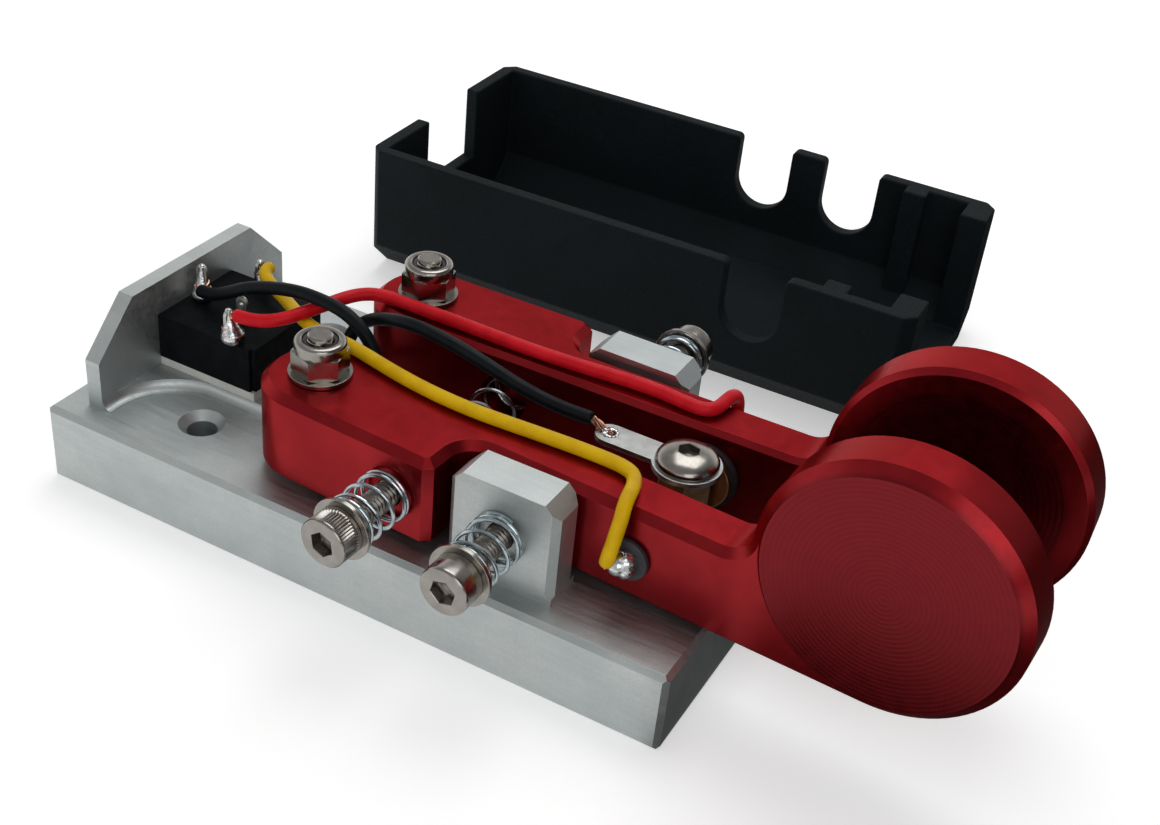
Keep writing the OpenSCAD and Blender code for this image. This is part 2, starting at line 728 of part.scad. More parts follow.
module solder_lug() {
  tail_end = lug_l - lug_tail_w / 2;
  color(tin) translate([post_x, 0, post_top]) linear_extrude(lug_t) difference() {
    union() {
      circle(d = lug_d);
      translate([-tail_end, -lug_tail_w / 2]) square([tail_end, lug_tail_w]);
      translate([-tail_end, 0]) circle(d = lug_tail_w, $fn = 32);
    }
    circle(r = shank_r + 0.1);
    translate([-tail_end, 0]) circle(d = 1.3, $fn = 24);
  }
}

// The bared strands soldered through the lug's hole
module lug_solder() {
  color(copper) translate([post_x - lug_l + lug_tail_w / 2, 0, lug_top]) intersection() {
    sphere(d = 1.9, $fn = 32);
    cylinder(h = 1, d = 2, $fn = 32);
  }
}

module post_screw() {
  flange_t = 0.35;
  dome_r = button_d / 2 - 0.6;
  ball_r = (pow(dome_r, 2) + pow(button_h, 2)) / (2 * button_h);
  color(steel) translate([post_x, 0, lug_top]) difference() {
    union() {
      cylinder(h = flange_t, d = button_d);
      intersection() {
        translate([0, 0, flange_t + button_h - ball_r]) sphere(ball_r);
        cylinder(h = flange_t + button_h + 1, r = dome_r + 0.2);
      }
      translate([0, 0, -button_screw_l]) cylinder(h = button_screw_l + flange_t, r = shank_r);
    }
    translate([0, 0, flange_t + button_h - 1.1]) cylinder(h = 2, r = 2 / sqrt(3), $fn = 6);
  }
}

// Adjusting screws

// Length that a spring has between a washer under the head and the face that it presses on
tension_spring_l = tension_stand - head_h - washer_t;
function stop_spring_l(head) = head - head_h - washer_t - post_outer;

module at_stop(side, y) {
  translate([stop_x, side * y, screw_z]) rotate([-90 * side, 0, 0]) children();
}

cup_back = cup_depth + cup_t;

module tension_screw() {
  under_head = block_w + tension_stand - head_h;
  color(steel) on_lever(near, splay_near) at_tension(under_head) cap_screw(under_head - cup_back);
}

module tension_washer() {
  color(steel) on_lever(near, splay_near) at_tension(block_w + tension_spring_l) washer();
}

module spring_cup() {
  color(steel) on_lever(near, splay_near) at_tension(cup_depth) cylinder(h = cup_t, d = spring_d);
}

module stop_screw_near() {
  color(steel) at_stop(near, stop_head_near - head_h) cap_screw(stop_head_near - head_h - stop_tip(splay_near));
}
module stop_screw_far() {
  color(steel) at_stop(far, stop_head_far - head_h) cap_screw(stop_head_far - head_h - stop_tip(splay_far));
}
module stop_washer_near() { color(steel) at_stop(near, stop_head_near - head_h - washer_t) washer(); }
module stop_washer_far() { color(steel) at_stop(far, stop_head_far - head_h - washer_t) washer(); }

// Springs: one round wire wound into an open coil whose end turns close up

wire_rings = 8;
wire_sides = 6;

// Height of the wire's centre after a number of turns, for a coil of a given length
function coil_rise(t, turns, length) =
  let (run = length - spring_wire - 0.04, open = (run - 2 * spring_end_pitch) / (turns - 2))
  spring_wire / 2 + 0.02 + (t < 1 ? spring_end_pitch * t
    : t > turns - 1 ? run - spring_end_pitch * (turns - t)
    : spring_end_pitch + open * (t - 1));

function coil_points(turns, length) =
  let (r = (spring_d - spring_wire) / 2)
  [for (i = [0 : turns * wire_rings]) let (t = i / wire_rings)
    [r * cos(360 * t), r * sin(360 * t), coil_rise(t, turns, length)]];

// Least distance between the wire and itself, past half a turn
function least_gap(points, d) =
  min([for (i = [0 : len(points) - 1]) for (j = [i + wire_rings / 2 + 1 : 1 : len(points) - 1])
    norm(points[i] - points[j])]) - d;

function unit(v) = v / norm(v);

// Direction of a route at each of its points
function tangents(p) = [for (i = [0 : len(p) - 1])
  unit(p[min(i + 1, len(p) - 1)] - p[max(i - 1, 0)])];

// A side direction at each point, carried along so that the tube doesn't twist
function sides(t, first) = [for (i = 0, n = unit(cross(t[0], first)); i < len(t);
  i = i + 1, n = i < len(t) ? unit(n - t[i] * (n * t[i])) : n) n];

// A closed tube of a given diameter along a route's own points
module tube(points, d, count, first) {
  t = tangents(points);
  n = sides(t, first);
  last = len(points) - 1;
  verts = [for (i = [0 : last]) let (b = cross(t[i], n[i])) for (k = [0 : count - 1])
    points[i] + d / 2 * (cos(360 * k / count) * n[i] + sin(360 * k / count) * b)];
  walls = [for (i = [0 : last - 1]) for (k = [0 : count - 1])
    let (a = i * count + k, b = i * count + (k + 1) % count)
    for (f = [[a, a + count, b], [b, a + count, b + count]]) f];
  ends = [[for (k = [0 : count - 1]) k], [for (k = [count - 1 : -1 : 0]) last * count + k]];
  polyhedron(points = verts, faces = concat(walls, ends), convexity = 10);
}

module coil(turns, length) {
  color(zinc) tube(coil_points(turns, length), spring_wire, wire_sides, [0, 0, 1]);
}

module tension_spring() {
  on_lever(near, splay_near) at_tension(block_w) coil(head_spring_turns, tension_spring_l);
}
module stop_spring_near() { at_stop(near, post_outer) coil(head_spring_turns, stop_spring_l(stop_head_near)); }
module stop_spring_far() { at_stop(far, post_outer) coil(head_spring_turns, stop_spring_l(stop_head_far)); }

// The return spring stands straight across, from the cup in the near lever to the far lever's seat
return_near = lever_y(tension_reach, inner_v + cup_depth, splay_near) - spring_d / 2 * sin(splay_near);
return_far = lever_y(tension_reach, inner_v + seat_far_depth, splay_far) - spring_d / 2 * sin(splay_far);
return_x = (lever_x(tension_reach, inner_v, splay_near) + lever_x(tension_reach, inner_v, splay_far)) / 2;

module return_spring() {
  translate([return_x, -return_near, screw_z]) rotate([-90, 0, 0])
    coil(return_spring_turns, return_near + return_far);
}

for (g = [["head spring", coil_points(head_spring_turns, tension_spring_l)],
          ["stop spring", coil_points(head_spring_turns, stop_spring_l(stop_head_near))],
          ["return spring", coil_points(return_spring_turns, return_near + return_far)]])
  echo(str(g[0], ": least gap ", least_gap(g[1], spring_wire), " mm"));

// Wires: each runs from its tag on the jack to its contact or to the centre post's lug

black_route = [[-32.4, -1.5, 19.6], [-31, -1.7, 19.6], [-29.2, -1.6, 20.2], [-27.2, -1.5, 21.3], [-25.6, -1.2, 22.1],
  [-23.7, -1, 22.8], [-21, -1, 23.6], [-18, -1, 24.2], [-15, -1, 24.2], [-12.2, -1, 23.9], [-9.6, -1.2, 22.8], [-7.6, -1.6, 21],
  [-6.6, -1.9, 18.4], [-7.4, -1.6, 15.6], [-9.8, -0.6, 14], [-12.4, 0.8, 14.8], [-13.6, 1.8, 17.2],
  [-12.6, 2, 20], [-10.4, 1.8, 22], [-7.6, 1.2, 23.4], [-4, 0.6, 24.4], [0, 0.2, 24.4], [4, 0.2, 23.7],
  [8, 0.2, 22.6], [12, 0.2, 21.7], [16, 0.1, 21.4], [19.6, 0, 21.6]];

yellow_route = [[-27.9, 6.4, 20.8], [-27.9, 5.1, 20.7], [-26.6, 3.9, 20.4], [-23.4, 2.6, 20.1], [-20, 0.6, 20.2],
  [-17, -1.4, 20.8], [-14, -3.2, 21.6], [-11, -4.4, 22.4], [-8, -5.1, 22.8], [-4, -6, 22.8], [0, -6.9, 22.8],
  [5, -7.6, 22.8], [10, -7.8, 22.8], [15, -7.5, 22.8], [20, -7.2, 22.8], [24.5, -7.1, 22.8], [27.6, -7.3, 22.8],
  [28.9, -8.4, 22.8], [29.5, -10.2, 22.8], [29.8, -11.8, 22.9], [30.05, -12.95, 22.35],
  [30.13, -13.45, 21.36], [30.03, -13.75, 20.26], [29.93, -14, 19.12],
  [29.84, -14.3, 18.13], [29.72, -14.55, 17.09], [29.58, -14.55, 16.13]];

red_route = [[-23.5, -6, 21.6], [-22, -5.8, 21.5], [-20, -5.2, 21.6], [-18, -3.8, 22], [-16.6, -1.6, 22.5],
  [-15.6, 0.8, 22.6], [-14.6, 3.2, 22.8], [-12.9, 5.2, 23], [-10.6, 6, 22.9], [-8, 6.15, 22.8], [-5, 6.2, 22.8], [-1, 6.3, 22.8],
  [4, 6.2, 22.8], [10, 6.3, 22.8], [16, 6.8, 22.8], [21, 7.4, 22.8], [25.5, 7.3, 22.8], [28.9, 6.9, 22.8],
  [30.2, 7.8, 22.8], [30.5, 9.4, 22.8], [30.7, 11.2, 22.9], [30.9, 12.5, 22.2], [31, 12.9, 20.8], [31, 13, 19.6],
  [31, 13, 18.4]];

module wire_black() { color([0.09, 0.1, 0.11]) tube(black_route, wire_d, 8, [0, 0, 1]); }
module wire_yellow() { color([0.85, 0.7, 0.08]) tube(yellow_route, wire_d, 8, [0, 0, 1]); }
module wire_red() { color([0.72, 0.12, 0.15]) tube(red_route, wire_d, 8, [0, 0, 1]); }

// Cover: it stands upside down on its roof behind the key, with its open rim upwards

cover_place = [base_rear + cover_shift, base_w / 2 + cover_gap, 0];
cover_inner_slant = cover_slant + cover_t * (sqrt(2) - 1);
cover_tension_x = lever_x(tension_reach, block_w / 2 + tension_spring_l, splay_near) - base_rear;
cover_stop_x = stop_x - base_rear;

// Section across the cover, roof downwards
module cover_section(inset, slant, rise) {
  polygon([[inset, slant], [slant, inset], [base_w - slant, inset], [base_w - inset, slant],
    [base_w - inset, cover_h + rise], [inset, cover_h + rise]]);
}

// A notch down from the rim with a round bottom and rounded lips
module notch(depth) {
  r = notch_w / 2;
  translate([0, cover_h]) {
    translate([0, r - depth]) circle(r);
    translate([-r, r - depth]) square([notch_w, depth - r + over]);
    for (s = [-1, 1]) difference() {
      translate([s > 0 ? r - over : -r - notch_round, -notch_round]) square([notch_round + over, notch_round + over]);
      translate([s * (r + notch_round), -notch_round]) circle(notch_round, $fn = 32);
      translate([s > 0 ? r + notch_round : -r - 3 * notch_round, -2 * notch_round]) square([2 * notch_round, 4]);
    }
  }
}

module cover() {
  notch_depth = screw_rise + notch_w / 2;
  color(dark_nylon) translate(cover_place) rotate([0, 0, cover_turn]) difference() {
    intersection() {
      rotate([90, 0, 90]) linear_extrude(base_l) cover_section(0, cover_slant, 0);
      translate([base_l / 2, base_w / 2, -over]) linear_extrude(cover_h + 2 * over)
        chamfered_rect(base_l, base_w, cover_chamfer);
    }
    difference() {
      translate([cover_t, 0, 0]) rotate([90, 0, 90]) linear_extrude(base_l - cover_t - cover_front_t)
        cover_section(cover_t, cover_inner_slant, over);
      for (y = [cover_t - over, base_w - cover_t - rib_depth])
        translate([rib_from_rear - rib_w / 2, y, -over]) cube([rib_w, rib_depth + over, cover_h + 3 * over]);
    }
    // The levers' way out at the front
    translate([base_l - cover_front_t - over, cover_corner_w, cover_t])
      cube([cover_front_t + 2 * over, base_w - 2 * cover_corner_w, cover_h]);
    // The jack's slot at the rear
    translate([-over, (base_w - jack_slot_w) / 2, cover_h - jack_slot_depth])
      cube([cover_t + 2 * over, jack_slot_w, jack_slot_depth + over]);
    // Turned over, the side away from the key comes to the near side, over the tension screw
    translate([cover_tension_x, base_w + over, 0]) rotate([90, 0, 0]) linear_extrude(cover_t + 2 * over) notch(notch_depth);
    translate([cover_stop_x, base_w + over, 0]) rotate([90, 0, 0]) linear_extrude(cover_t + 2 * over) notch(notch_depth);
    translate([cover_stop_x, cover_t + over, 0]) rotate([90, 0, 0]) linear_extrude(cover_t + 2 * over) notch(notch_depth);
  }
}

base_block();
jack_strip();
jack_body();
jack_ring();
jack_pins();
pin_solder();
pivot_bolts();
pivot_washers();
pivot_nuts();
lever_near();
bush_near();
insulator_near();
insulator_bush_near();
contact_near();
contact_solder_near();
lever_far();
bush_far();
insulator_far();
insulator_bush_far();
contact_far();
contact_solder_far();
centre_post();
solder_lug();
lug_solder();
post_screw();
tension_screw();
tension_washer();
tension_spring();
spring_cup();
return_spring();
stop_screw_near();
stop_washer_near();
stop_spring_near();
stop_screw_far();
stop_washer_far();
stop_spring_far();
wire_black();
wire_yellow();
wire_red();
cover();
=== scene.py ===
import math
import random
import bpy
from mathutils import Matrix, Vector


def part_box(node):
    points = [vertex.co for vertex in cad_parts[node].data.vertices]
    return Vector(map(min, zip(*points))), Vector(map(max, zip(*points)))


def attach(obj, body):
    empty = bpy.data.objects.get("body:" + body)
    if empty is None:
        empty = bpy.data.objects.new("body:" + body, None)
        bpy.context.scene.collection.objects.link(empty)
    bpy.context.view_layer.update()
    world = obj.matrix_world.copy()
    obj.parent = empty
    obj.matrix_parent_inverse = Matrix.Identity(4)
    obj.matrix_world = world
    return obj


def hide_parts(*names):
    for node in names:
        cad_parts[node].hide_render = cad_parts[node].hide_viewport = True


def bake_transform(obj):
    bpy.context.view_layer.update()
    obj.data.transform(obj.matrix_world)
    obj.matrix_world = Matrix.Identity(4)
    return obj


bl_info = {
    "name": "Telegraph key looks",
    "version": (1, 0, 0),
    "blender": (4, 5, 0),
    "location": "3D View > Sidebar > Key",
    "description": "Finishes, small pieces, wiring and studio of a packed twin-lever telegraph key",
    "category": "Object",
}

import bpy
from bpy.props import FloatProperty, FloatVectorProperty, IntProperty, PointerProperty
from mathutils import Matrix, Vector

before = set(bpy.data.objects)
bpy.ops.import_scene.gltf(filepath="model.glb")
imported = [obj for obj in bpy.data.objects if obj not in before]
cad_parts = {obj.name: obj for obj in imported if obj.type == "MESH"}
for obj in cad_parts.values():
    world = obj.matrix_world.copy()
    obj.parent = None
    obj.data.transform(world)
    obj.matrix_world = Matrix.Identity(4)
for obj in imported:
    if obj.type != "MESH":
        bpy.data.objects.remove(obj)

# Scale and places, in millimetres in the shared frame

MM = 0.001
SPLAY = {"near": math.radians(2.9), "far": math.radians(1.5)}
PIVOT_X = -8.2
PIVOT_Y = 10.5
SCREW_Z = 16.3
DISC_REACH = 65.3
DISC_Z = 24.75
DISC_R = 13.75
CONTACT_REACH = 39.2
CONTACT_Z = 16.2
TENSION_REACH = 14.1
BLOCK_FACE = 6.3
STOP_X = 18.7
POST_FACE = 16.9
BASE_TOP = 10.0
WALL_FACE = -34.3
PAD_LENGTH = 17.0
PAD_HALF_WIDTH = 6.65
PAD_TOP = 11.205
PAD_RUNOUT = 8.5
RUNOUT_END = 16.6
JACK_TOP = 18.0
NUT_BOTTOM = 22.55
LUG_TOP = 20.7
COIL_SIDES = 10

BLACK_ROUTE = [
    (-32.4, -1.5, 19.6), (-31, -1.7, 19.6), (-29.2, -1.6, 20.2), (-27.2, -1.5, 21.3),
    (-25.6, -1.2, 22.1), (-23.7, -1, 22.8), (-21, -1, 23.6), (-18, -1, 24.2), (-15, -1, 24.2),
    (-12.2, -1, 23.9), (-9.6, -1.2, 22.8), (-7.6, -1.6, 21), (-6.6, -1.9, 18.4), (-7.4, -1.6, 15.6),
    (-9.8, -0.6, 14), (-12.4, 0.8, 14.8), (-13.6, 1.8, 17.2), (-12.6, 2, 20), (-10.4, 1.8, 22),
    (-7.6, 1.2, 23.4), (-4, 0.6, 24.4), (0, 0.2, 24.4), (4, 0.2, 23.7), (8, 0.2, 22.6),
    (12, 0.2, 21.7), (16, 0.1, 21.4), (19.6, 0, 21.6),
]
YELLOW_ROUTE = [
    (-27.9, 6.4, 20.8), (-27.9, 5.1, 20.7), (-26.6, 3.9, 20.4), (-23.4, 2.6, 20.1), (-20, 0.6, 20.2),
    (-17, -1.4, 20.8), (-14, -3.2, 21.6), (-11, -4.4, 22.4), (-8, -5.1, 22.8), (-4, -6, 22.8),
    (0, -6.9, 22.8), (5, -7.6, 22.8), (10, -7.8, 22.8), (15, -7.5, 22.8), (20, -7.2, 22.8),
    (24.5, -7.1, 22.8), (27.6, -7.3, 22.8), (28.9, -8.4, 22.8), (29.5, -10.2, 22.8), (29.8, -11.8, 22.9),
    (30.05, -12.95, 22.35), (30.13, -13.45, 21.36), (30.03, -13.75, 20.26), (29.93, -14, 19.12),
    (29.84, -14.3, 18.13), (29.72, -14.55, 17.09), (29.58, -14.55, 16.13),
]
RED_ROUTE = [
    (-23.5, -6, 21.6), (-22, -5.8, 21.5), (-20, -5.2, 21.6), (-18, -3.8, 22), (-16.6, -1.6, 22.5),
    (-15.6, 0.8, 22.6), (-14.6, 3.2, 22.8), (-12.9, 5.2, 23), (-10.6, 6, 22.9), (-8, 6.15, 22.8),
    (-5, 6.2, 22.8), (-1, 6.3, 22.8), (4, 6.2, 22.8), (10, 6.3, 22.8), (16, 6.8, 22.8),
    (21, 7.4, 22.8), (25.5, 7.3, 22.8), (28.9, 6.9, 22.8), (30.2, 7.8, 22.8), (30.5, 9.4, 22.8),
    (30.7, 11.2, 22.9), (30.9, 12.5, 22.2), (31, 12.9, 20.8), (31, 13, 19.6), (31, 13, 18.4),
]


def lever_point(side, along, out, height):
    """A point given along a lever and out from it, in the shared frame."""
    turn = SPLAY[side]
    x = PIVOT_X + along * math.cos(turn) - out * math.sin(turn)
    y = PIVOT_Y + along * math.sin(turn) + out * math.cos(turn)
    return Vector((x, -y if side == "near" else y, height))


def lever_out(side):
    """The direction straight out of a lever's outer face."""
    turn = SPLAY[side]
    return Vector((-math.sin(turn), -math.cos(turn) if side == "near" else math.cos(turn), 0))


# Meshes


def solid(name, form, slot, crease=32.0):
    """A smooth mesh in its slot's finish, from points in millimetres; edges over crease stay hard."""
    points, faces = form
    mesh = bpy.data.meshes.new(name)
    mesh.from_pydata([tuple(c * MM for c in p) for p in points], [], faces)
    mesh.polygons.foreach_set("use_smooth", [True] * len(faces))
    mesh.set_sharp_from_angle(angle=math.radians(crease))
    mesh.materials.append(paint(slot))
    obj = bpy.data.objects.new(name, mesh)
    bpy.context.scene.collection.objects.link(obj)
    return obj


def bridge(low, high):
    """Faces between two rings; a ring of one point is a tip."""
    count = max(len(low), len(high))
    faces = []
    for i in range(count):
        corners = ((low, i), (low, i + 1), (high, i + 1), (high, i))
        face = list(dict.fromkeys(ring[k % len(ring)] for ring, k in corners))
        if len(face) > 2:
            faces.append(face)
    return faces


def lathe(profile, count):
    """A turned form from rings of (radius, height); a radius may be a function of angle and height."""
    points, faces, below = [], [], None
    for radius, height in profile:
        if not callable(radius) and radius == 0:
            ring = [len(points)]
            points.append(Vector((0, 0, height)))
        else:
            ring = list(range(len(points), len(points) + count))
            for i in range(count):
                angle = math.tau * i / count
                reach = radius(angle, height) if callable(radius) else radius
                points.append(Vector((reach * math.cos(angle), reach * math.sin(angle), height)))
        if below:
            faces += bridge(below, ring)
        below = ring
    return points, faces


def sweep(path, radii, sides):
    """A round tube along a path, one radius for each of its points, closed at both ends."""
    points, faces, below = [], [], None
    tangent = (path[1] - path[0]).normalized()
    side = tangent.orthogonal().normalized()
    for k, centre in enumerate(path):
        ahead = path[min(k + 1, len(path) - 1)] - path[max(k - 1, 0)]
        if ahead.length > 1e-9:
            tangent = ahead.normalized()
        side = (side - tangent * side.dot(tangent)).normalized()
        across = tangent.cross(side)
        ring = list(range(len(points), len(points) + sides))
        for i in range(sides):
            angle = math.tau * i / sides
            points.append(centre + (side * math.cos(angle) + across * math.sin(angle)) * radii[k])
        if below is None:
            faces.append(list(reversed(ring)))
        else:
            faces += bridge(below, ring)
        below = ring
    faces.append(below)
    return points, faces


def round_ends(path, radius):
    """The path and its radii with both ends rounded over."""
    start, end = path[0], path[-1]
    back = (path[0] - path[1]).normalized()
    on = (path[-1] - path[-2]).normalized()
    steps = [(0.0, 0.62), (0.3, 0.86), (0.65, 0.97)]
    reach = radius * 0.45
    head = [start - back * (reach * d) for d, _ in steps]
    tail = [end - on * (reach * d) for d, _ in reversed(steps)]
    body = [p for p in path if (p - start).length > reach and (p - end).length > reach]
    narrow = [radius * f for _, f in steps]
    return head + body + tail, narrow + [radius] * len(body) + narrow[::-1]


def smooth_route(points, steps=6):
    """A smooth curve through the points."""
    p = [Vector(q) for q in points]
    p = [p[0] * 2 - p[1]] + p + [p[-1] * 2 - p[-2]]
    out = []
    for k in range(1, len(p) - 2):
        for i in range(steps):
            t = i / steps
            a = p[k] * 2
            b = (p[k + 1] - p[k - 1]) * t
            c = (p[k - 1] * 2 - p[k] * 5 + p[k + 1] * 4 - p[k + 2]) * t**2
            d = (p[k] * 3 - p[k - 1] - p[k + 1] * 3 + p[k + 2]) * t**3
            out.append((a + b + c + d) * 0.5)
    out.append(p[-2])
    return out


def relaxed(line, passes=14):
    """The line with its small waves smoothed out; its ends stay."""
    for _ in range(passes):
        inner = [(a + b * 2 + c) / 4 for a, b, c in zip(line, line[1:], line[2:])]
        line = [line[0], *inner, line[-1]]
    return line


def moved(form, shift, roll=0.0, aim=(0, 0, 1)):
    """The form rolled about its Z axis by so many degrees, aimed along a direction and shifted."""
    points, faces = form
    turn = Matrix.Rotation(math.radians(roll), 3, "Z")
    if tuple(aim) != (0, 0, 1):
        turn = Vector(aim).to_track_quat("Z", "Y").to_matrix() @ turn
    return [Vector(shift) + turn @ p for p in points], faces


def joined(*forms):
    """Several (points, faces) forms as one."""
    points, faces = [], []
    for more, polygons in forms:
        faces += [[i + len(points) for i in face] for face in polygons]
        points += list(more)
    return points, faces


def hexagon(across):
    """The radius of a hexagon that is this wide across its flats, at each angle."""

    def radius(angle, height):
        return across / 2 / math.cos((angle + math.pi / 6) % (math.pi / 3) - math.pi / 6)

    return radius


def thread(outer, depth, pitch):
    """The radius of a right-handed screw thread at each angle and height."""

    def radius(angle, height):
        phase = (height / pitch - angle / math.tau) % 1.0
        return outer - depth * (1 - abs(2 * phase - 1))

    return radius


def ball(centre, radius, stretch=(1, 1, 1)):
    """A ball or an egg, to be melted into a drop of solder."""
    angles = [math.pi * k / 8 for k in range(1, 8)]
    profile = [(0, -radius)]
    profile += [(radius * math.sin(a), -radius * math.cos(a)) for a in angles]
    profile += [(0, radius)]
    points, faces = lathe(profile, 16)
    return [Vector(centre) + Vector(a * b for a, b in zip(p, stretch)) for p in points], faces


def drop(name, forms, passes, cell=0.09):
    """Balls melted together into one drop of solder and eased so many times."""
    obj = solid(name, joined(*forms), "solder")
    melt = obj.modifiers.new("Melt together", "REMESH")
    melt.mode = "VOXEL"
    melt.voxel_size = cell * MM
    melt.use_smooth_shade = True
    ease = obj.modifiers.new("Ease", "SMOOTH")
    ease.factor = 0.5
    ease.iterations = passes
    return obj


def strands(name, start, end, wire):
    """Fine bare wires, each this thick, twisted round one line."""
    count, spread, twist = 7, 0.42, 0.9
    rng = random.Random(name)
    start, end = Vector(start), Vector(end)
    axis = (end - start).normalized()
    side = axis.orthogonal().normalized()
    across = axis.cross(side)
    forms = []
    for k in range(count):
        turn = math.tau * k / (count - 1) if k else 0.0
        reach = spread * (0.0 if k == 0 else rng.uniform(0.8, 1.05))
        path = []
        for i in range(9):
            t = i / 8
            angle = turn + twist * t * math.pi
            taper = reach * (1 - 0.35 * t)
            away = side * math.cos(angle) + across * math.sin(angle)
            path.append(start.lerp(end, t) + away * taper)
        forms.append(sweep(path, [wire / 2] * len(path), 8))
    return solid(name, joined(*forms), "copper")


# Materials


class Nodes:
    """The nodes of a material or a world."""

    def __init__(self, owner):
        owner.use_nodes = True
        self.tree = owner.node_tree

    def feed(self, node, inputs):
        """Links or sets the node's inputs, given by name or number."""
        for key, value in inputs.items():
            if isinstance(value, bpy.types.NodeSocket):
                self.tree.links.new(value, node.inputs[key])
            else:
                node.inputs[key].default_value = value

    def add(self, kind, inputs=None, **settings):
        """A new node with these settings and inputs."""
        node = self.tree.nodes.new(kind)
        for key, value in settings.items():
            setattr(node, key, value)
        self.feed(node, inputs or {})
        return node

    def spread(self, value, low, high, start=0.3, end=0.7):
        """The value from start to end carried over to low to high."""
        inputs = {"Value": value, "From Min": start, "From Max": end, "To Min": low, "To Max": high}
        return self.add("ShaderNodeMapRange", inputs, interpolation_type="SMOOTHSTEP").outputs[0]

    def math(self, operation, a, b=0.0):
        """One sum of a Math node."""
        return self.add("ShaderNodeMath", {0: a, 1: b}, operation=operation).outputs[0]


class Finish(Nodes):
    """A node material on the Principled shader whose patterns are laid out in the shared frame."""

    def __init__(self, name, **sockets):
        self.material = bpy.data.materials.new(name)
        super().__init__(self.material)
        self.surface = self.tree.nodes["Principled BSDF"]
        self.feed(self.surface, {socket.replace("_", " "): value for socket, value in sockets.items()})
        self.place = self.add("ShaderNodeTexCoord").outputs["Object"]

    def shifted(self, centre, stretch=(1, 1, 1)):
        """The place measured from a centre, in millimetres, with its axes stretched."""
        inputs = {0: self.place, 1: [c * MM for c in centre]}
        moved = self.add("ShaderNodeVectorMath", inputs, operation="SUBTRACT").outputs[0]
        return self.add("ShaderNodeVectorMath", {0: moved, 1: stretch}, operation="MULTIPLY").outputs[0]

    def noise(self, size, detail=3.0, rough=0.55, stretch=(1, 1, 1)):
        """Noise whose patches are about this many millimetres across."""
        vector = self.shifted((0, 0, 0), stretch)
        inputs = {"Vector": vector, "Scale": 1 / (size * MM), "Detail": detail, "Roughness": rough}
        return self.add("ShaderNodeTexNoise", inputs).outputs["Fac"]

    def mix(self, factor, low, high):
        """A colour between two."""
        tones = [(*tone, 1) if isinstance(tone, tuple) else tone for tone in (low, high)]
        inputs = {0: factor, 6: tones[0], 7: tones[1]}
        return self.add("ShaderNodeMix", inputs, data_type="RGBA").outputs[2]

    def colour(self, socket):
        """Takes the base colour from the socket."""
        self.feed(self.surface, {"Base Color": socket})

    def rough(self, socket):
        """Takes the roughness from the socket."""
        self.feed(self.surface, {"Roughness": socket})

    def relief(self, height, depth):
        """Raises the surface by up to depth millimetres where height is 1."""
        bump = self.add("ShaderNodeBump", {"Height": height, "Strength": 1.0, "Distance": depth * MM})
        before = self.surface.inputs["Normal"]
        if before.is_linked:
            self.tree.links.new(before.links[0].from_socket, bump.inputs["Normal"])
        self.tree.links.new(bump.outputs[0], before)
        return self


def tones(name, lighter):
    """The darker tone set for a finish, and one that is this much lighter."""
    dark = tuple(getattr(bpy.context.scene.key_colours, name))
    return dark, tuple(a + b for a, b in zip(dark, lighter))


def machined_aluminium():
    """Blasted aluminium with soft cloudy patches and the fine marks of its milling."""
    f = Finish("machined_aluminium", Metallic=1.0)
    cloud = f.noise(9, 3)
    grain = f.noise(0.16, 2)
    lines = f.noise(0.5, 4, 0.6, stretch=(0.08, 1, 1))
    tone = f.mix(f.spread(cloud, 0, 1), *tones("machined_aluminium", (0.09, 0.085, 0.08)))
    f.colour(f.mix(f.spread(grain, 0, 0.35, 0.35, 0.65), tone, (0.4, 0.43, 0.425)))
    f.rough(f.spread(lines, 0.44, 0.56))
    return f.relief(grain, 0.006).relief(lines, 0.004)


def red_anodised(side):
    """Red anodised aluminium, with the rings that the lathe left on the finger disc."""
    f = Finish("red_anodised_" + side, Metallic=1.0, Specular_Tint=(1, 0.4, 0.4, 1), Coat_Weight=0.2,
               Coat_Roughness=0.22)
    away = f.shifted(lever_point(side, DISC_REACH, 0.1, DISC_Z))
    length = f.add("ShaderNodeVectorMath", {0: away}, operation="LENGTH").outputs["Value"]
    inside = f.spread(length, 1, 0, (DISC_R - 1.3) * MM, (DISC_R - 0.6) * MM)
    ring_gap = 0.5
    rings = f.math("SINE", f.math("MULTIPLY", length, math.tau / (ring_gap * MM)))
    waver = f.noise(3, 3)
    cut = f.math("MULTIPLY", f.math("MULTIPLY", rings, waver), inside)
    grain = f.noise(0.14, 2)
    cloud = f.noise(7, 3)
    plain = f.mix(f.spread(cloud, 0, 1), *tones("red_anodised", (0.06, 0.005, 0.005)))
    turned = f.mix(f.spread(cut, 0, 0.5, -0.4, 0.6), (0.185, 0.0075, 0.011), (0.14, 0.0055, 0.0085))
    f.colour(f.mix(inside, plain, turned))
    f.rough(f.spread(f.noise(1.4, 3), 0.3, 0.38))
    return f.relief(grain, 0.004).relief(cut, 0.006)


def turned_metal(name, low, high, rough_low, rough_high, depth=0.004):
    """Plain metal with a slight cloud in its colour and polish."""
    f = Finish(name, Metallic=1.0)
    f.colour(f.mix(f.spread(f.noise(1.6, 3), 0, 1), low, high))
    f.rough(f.spread(f.noise(0.7, 3), rough_low, rough_high))
    return f.relief(f.noise(0.2, 2), depth)


def solder_finish():
    """Bright solder that set unevenly."""
    f = Finish("solder", Metallic=1.0)
    f.colour(f.mix(f.spread(f.noise(0.5, 4), 0, 1), (0.33, 0.33, 0.33), (0.74, 0.75, 0.75)))
    f.rough(f.spread(f.noise(0.35, 3), 0.1, 0.26))
    return f.relief(f.noise(0.9, 3, 0.5), 0.1)


